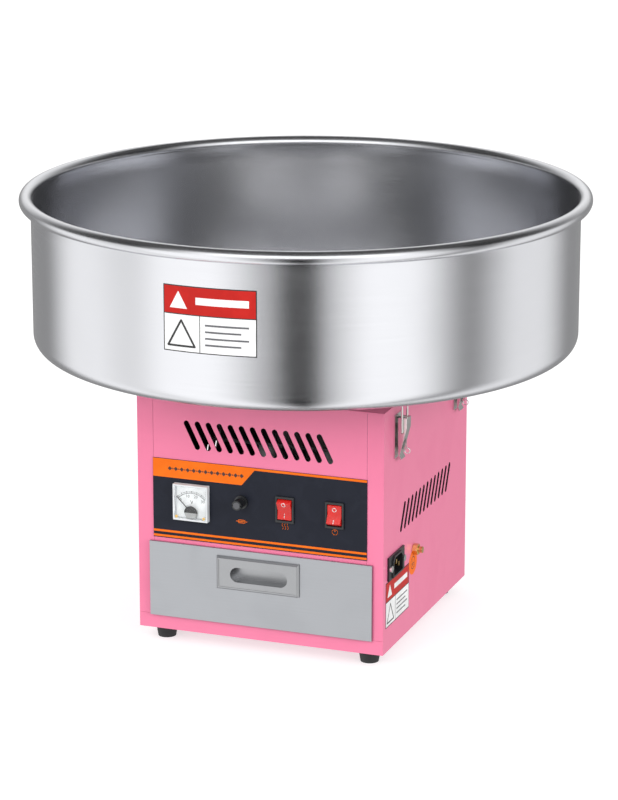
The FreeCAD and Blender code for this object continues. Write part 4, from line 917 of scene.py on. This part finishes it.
def makeFuseCap():
    low, high = size("fuse_cap")
    x, z = (low.x + high.x) / 2, (low.z + high.z) / 2
    radius = (high.x - low.x) / 2
    length = (high.y - low.y) * cap["share"]
    count = cap["knurls"]
    tall, wide = cap["knurl"]
    grown("fuse_cap_ribs", ringOfMarks, frontMatrix(x, -low.y - cap["setBack"] - length / 2, z), "fuse_cap",
          finishes["black_plastic"], "black_plastic", Count=count, Radius=radius * mm, Start=0.0,
          Sweep=2 * math.pi * (1 - 1 / count), Length=tall * mm, Width=wide * mm, Thickness=length * mm)
    prisms("fuse_cap_face", [disc(x, z, radius * cap["face"], 28)], onFront(-low.y - 0.04), "fuse_cap", capFace,
           0.09)


makeSwitchMarks()
makeFuseCap()
print("switch marks and fuse cap made")

# stickers carry plain shapes only; the layout is in shares of a sticker's width and height
sticker = {"thick": 0.12, "print": 0.06, "ink": 0.05, "border": 0.9, "slice": 2.5, "sheetSteps": 24, "smooth": 30}
layout = {
    "sign": 0.17, "signSize": 0.3, "signWide": 1.1, "bar": 0.36, "barEnd": 0.08, "barSize": 0.42,
    "mark": 0.2, "markSize": 0.34, "markWide": 1.12, "markLine": 0.16, "split": 0.4, "splitLine": 0.7,
    "rows": 4, "rowStart": 0.24, "rowSpan": 0.52, "rowGap": 0.06, "rowEnds": (0.16, 0.08), "rowHeight": 0.014,
}
bowlLabel = {"turn": (-8.4, 11.0), "low": 313.5, "header": 346.5, "high": 371.5}
sideLabel = {"y": (-113.0, -48.5), "low": 36.0, "header": 60.0, "high": 78.6}
earthLabel = {"place": (-37.5, 75.5), "radius": 11.3, "thick": 0.1, "sign": 0.04, "ring": 5.6, "line": 0.6,
              "bars": (3.3, 2.1, 0.9), "step": 1.4}


def onBowl(radius):
    def place(a, z, out):
        turn = a / radius
        return Vector(((radius + out) * math.sin(turn), -(radius + out) * math.cos(turn), z)) * mm
    return place


def cutAt(outline, x, keepRight):
    kept = []
    for i, (ax, ay) in enumerate(outline):
        bx, by = outline[(i + 1) % len(outline)]
        if (ax >= x if keepRight else ax <= x):
            kept.append((ax, ay))
        if (ax - x) * (bx - x) < 0:
            kept.append((x, ay + (by - ay) * (x - ax) / (bx - ax)))
    return kept


# outlines cut into narrow strips, so that they can follow the bowl
def sliced(outlines, width):
    slices = []
    for outline in outlines:
        left, right = min(x for x, y in outline), max(x for x, y in outline)
        count = max(1, math.ceil((right - left) / width))
        for i in range(count):
            part = cutAt(outline, left + (right - left) * i / count, True) if i else outline
            part = cutAt(part, left + (right - left) * (i + 1) / count, False) if i < count - 1 else part
            if len(part) > 2:
                slices.append(part)
    return slices


def curvedSheet(name, x0, y0, x1, y1, place, material, thick, lift=0.0):
    shape = bmesh.new()
    count = sticker["sheetSteps"]
    corners = ((y0, lift), (y1, lift), (y1, lift + thick), (y0, lift + thick))
    loops = []
    for i in range(count + 1):
        x = x0 + (x1 - x0) * i / count
        loops.append([shape.verts.new(place(x, y, out)) for y, out in corners])
    for here, there in zip(loops, loops[1:]):
        joinLoops(shape, here, there)
    shape.faces.new(loops[0])
    shape.faces.new(list(reversed(loops[-1])))
    mesh = meshFrom(name, shape)
    smoothByAngle(mesh, sticker["smooth"])
    newPiece(name, mesh, "chassis", material)


# white triangle and bar on the red header
def headerShapes(x0, x1, header, high):
    wide = x1 - x0
    middle, reach = (header + high) / 2, (high - header) * layout["signSize"]
    sign, half, tall = x0 + wide * layout["sign"], reach * layout["signWide"], reach * layout["barSize"]
    triangle = [(sign - half, middle - reach), (sign + half, middle - reach), (sign, middle + reach)]
    return [triangle, bar(x0 + wide * layout["bar"], middle - tall, x1 - wide * layout["barEnd"], middle + tall)]


# outlined triangle on the left of the white field, with a line beside it
def fieldShapes(x0, x1, low, header):
    wide, edge = x1 - x0, sticker["border"]
    level, reach = (low + header) / 2, (header - low) * layout["markSize"]
    mark, split = x0 + wide * layout["mark"], x0 + wide * layout["split"]
    half = reach * layout["markWide"]
    corners = [(mark - half, level - reach), (mark + half, level - reach), (mark, level + reach)]
    line = bar(split, low + edge, split + edge * layout["splitLine"], header - edge / 2)
    return stroke(corners, reach * layout["markLine"], True) + [line]


# grey rows on the right of the field
def rowShapes(x0, x1, low, header, high):
    wide, rows = x1 - x0, layout["rows"]
    left, half = x0 + wide * (layout["split"] + layout["rowGap"]), (high - low) * layout["rowHeight"]
    bars = []
    for i in range(rows):
        z = low + (header - low) * (layout["rowStart"] + layout["rowSpan"] * i / (rows - 1))
        bars.append(bar(left, z - half, x1 - wide * layout["rowEnds"][i % 2], z + half))
    return bars


def makeLabel(name, x0, x1, low, header, high, place):
    edge, thick, coat = sticker["border"], sticker["thick"], sticker["print"]
    inner, outer = x0 + edge, x1 - edge
    curvedSheet(name + "_edge", x0, low, x1, high, place, inkBlack, thick)
    curvedSheet(name + "_header", inner, header + edge / 2, outer, high - edge, place, inkRed, coat, thick)
    curvedSheet(name + "_field", inner, low + edge, outer, header - edge / 2, place, inkWhite, coat, thick)
    for end, outlines, material in (("_white", headerShapes(x0, x1, header, high), inkWhite),
                                    ("_black", fieldShapes(x0, x1, low, header), inkBlack),
                                    ("_grey", rowShapes(x0, x1, low, header, high), inkGrey)):
        prisms(name + end, sliced(outlines, sticker["slice"]), place, "chassis", material,
               sticker["ink"], thick + coat)


def makeEarthLabel(side):
    y, z = earthLabel["place"]
    thick, step = earthLabel["thick"], earthLabel["step"]
    prisms("earth_label", [disc(y, z, earthLabel["radius"], 48)], side, "chassis", inkOrange,
           thick)
    shapes = [bar(y - 0.35, z - 0.5, y + 0.35, z + 3.4)]
    for i, half in enumerate(earthLabel["bars"]):
        top = z - 0.5 - step * i
        shapes.append(bar(y - half, top - step / 2, y + half, top))
    shapes += stroke(arcPoints(y, z - 0.3, earthLabel["ring"], 0, 345, 30), earthLabel["line"], True)
    prisms("earth_sign", shapes, side, "chassis", inkBlack, earthLabel["sign"], thick)


def makeStickers():
    radius = size("bowl")[1].x - bowlShape["wallInset"]
    start, end = (math.radians(turn) * radius for turn in bowlLabel["turn"])
    makeLabel("bowl_label", start, end, bowlLabel["low"], bowlLabel["header"], bowlLabel["high"], onBowl(radius))
    side = onSide(size("right_side_panel")[1].x)
    makeLabel("inlet_label", *sideLabel["y"], sideLabel["low"], sideLabel["header"], sideLabel["high"], side)
    makeEarthLabel(side)


makeStickers()
print("stickers made")

pull = {"inset": 1.5, "width": 1.1, "rise": 0.5, "sunk": 0.02}


def makePullFrame():
    low, high = size("drawer_handle")
    inset, width = pull["inset"], pull["width"]
    left, bottom, right, top = low.x + inset, low.z + inset, high.x - inset, high.z - inset
    sides = [bar(left, bottom, right, bottom + width), bar(left, top - width, right, top),
             bar(left, bottom + width, left + width, top - width),
             bar(right - width, bottom + width, right, top - width)]
    prisms("pull_frame", sides, onFront(-low.y - pull["sunk"]), "drawer", pullSteel, pull["rise"])


# a small wire ring hangs near the tip of each latch lever
latchRing = {"radius": 2.5, "wire": 0.5, "drop": 31, "inset": 1.2, "around": 28, "across": 8}


def makeLatchRing(lever):
    low, high = size(lever)
    side = 1 if high.x > 0 else -1
    x = side * (max(abs(low.x), abs(high.x)) - latchRing["inset"])
    y, z = (low.y + high.y) / 2, high.z - latchRing["drop"]
    wire, around, across = latchRing["wire"], latchRing["around"], latchRing["across"]
    shape = bmesh.new()
    loops = []
    for i in range(around):
        turn = 2 * math.pi * i / around
        loop = []
        for j in range(across):
            lean = 2 * math.pi * j / across
            reach = latchRing["radius"] + wire * math.cos(lean)
            spot = (x + reach * math.cos(turn), y + wire * math.sin(lean), z + reach * math.sin(turn))
            loop.append(shape.verts.new(Vector(spot) * mm))
        loops.append(loop)
    for i in range(around):
        joinLoops(shape, loops[i], loops[(i + 1) % around])
    mesh = meshFrom("ring_" + lever, shape)
    mesh.shade_smooth()
    newPiece("ring_" + lever, mesh, bodyOf[lever], finishes["plated_steel"])


makePullFrame()
for name in levers:
    makeLatchRing(name)
print("pull frame and latch rings made")

floorSheet = {"width": 12, "tone": 0.5, "glow": 0.62, "rough": 0.9, "shine": 0.1}


def makeFloor():
    half = floorSheet["width"] / 2
    mesh = bpy.data.meshes.new("floor")
    mesh.from_pydata([(x, y, 0) for x, y in bar(-half, -half, half, half)], [], [(0, 1, 2, 3)])
    floor = bpy.data.objects.new("floor", mesh)
    scene.collection.objects.link(floor)
    material, _, shader = newMaterial("paleFloor", Roughness=floorSheet["rough"],
                                      Specular_IOR_Level=floorSheet["shine"],
                                      Emission_Strength=floorSheet["glow"])
    shader.inputs["Base Color"].default_value = (*(floorSheet["tone"],) * 3, 1)
    shader.inputs["Emission Color"].default_value = (1, 1, 1, 1)
    mesh.materials.append(material)
    floor.visible_glossy = False
    floor.visible_diffuse = False


makeFloor()
print("floor laid")
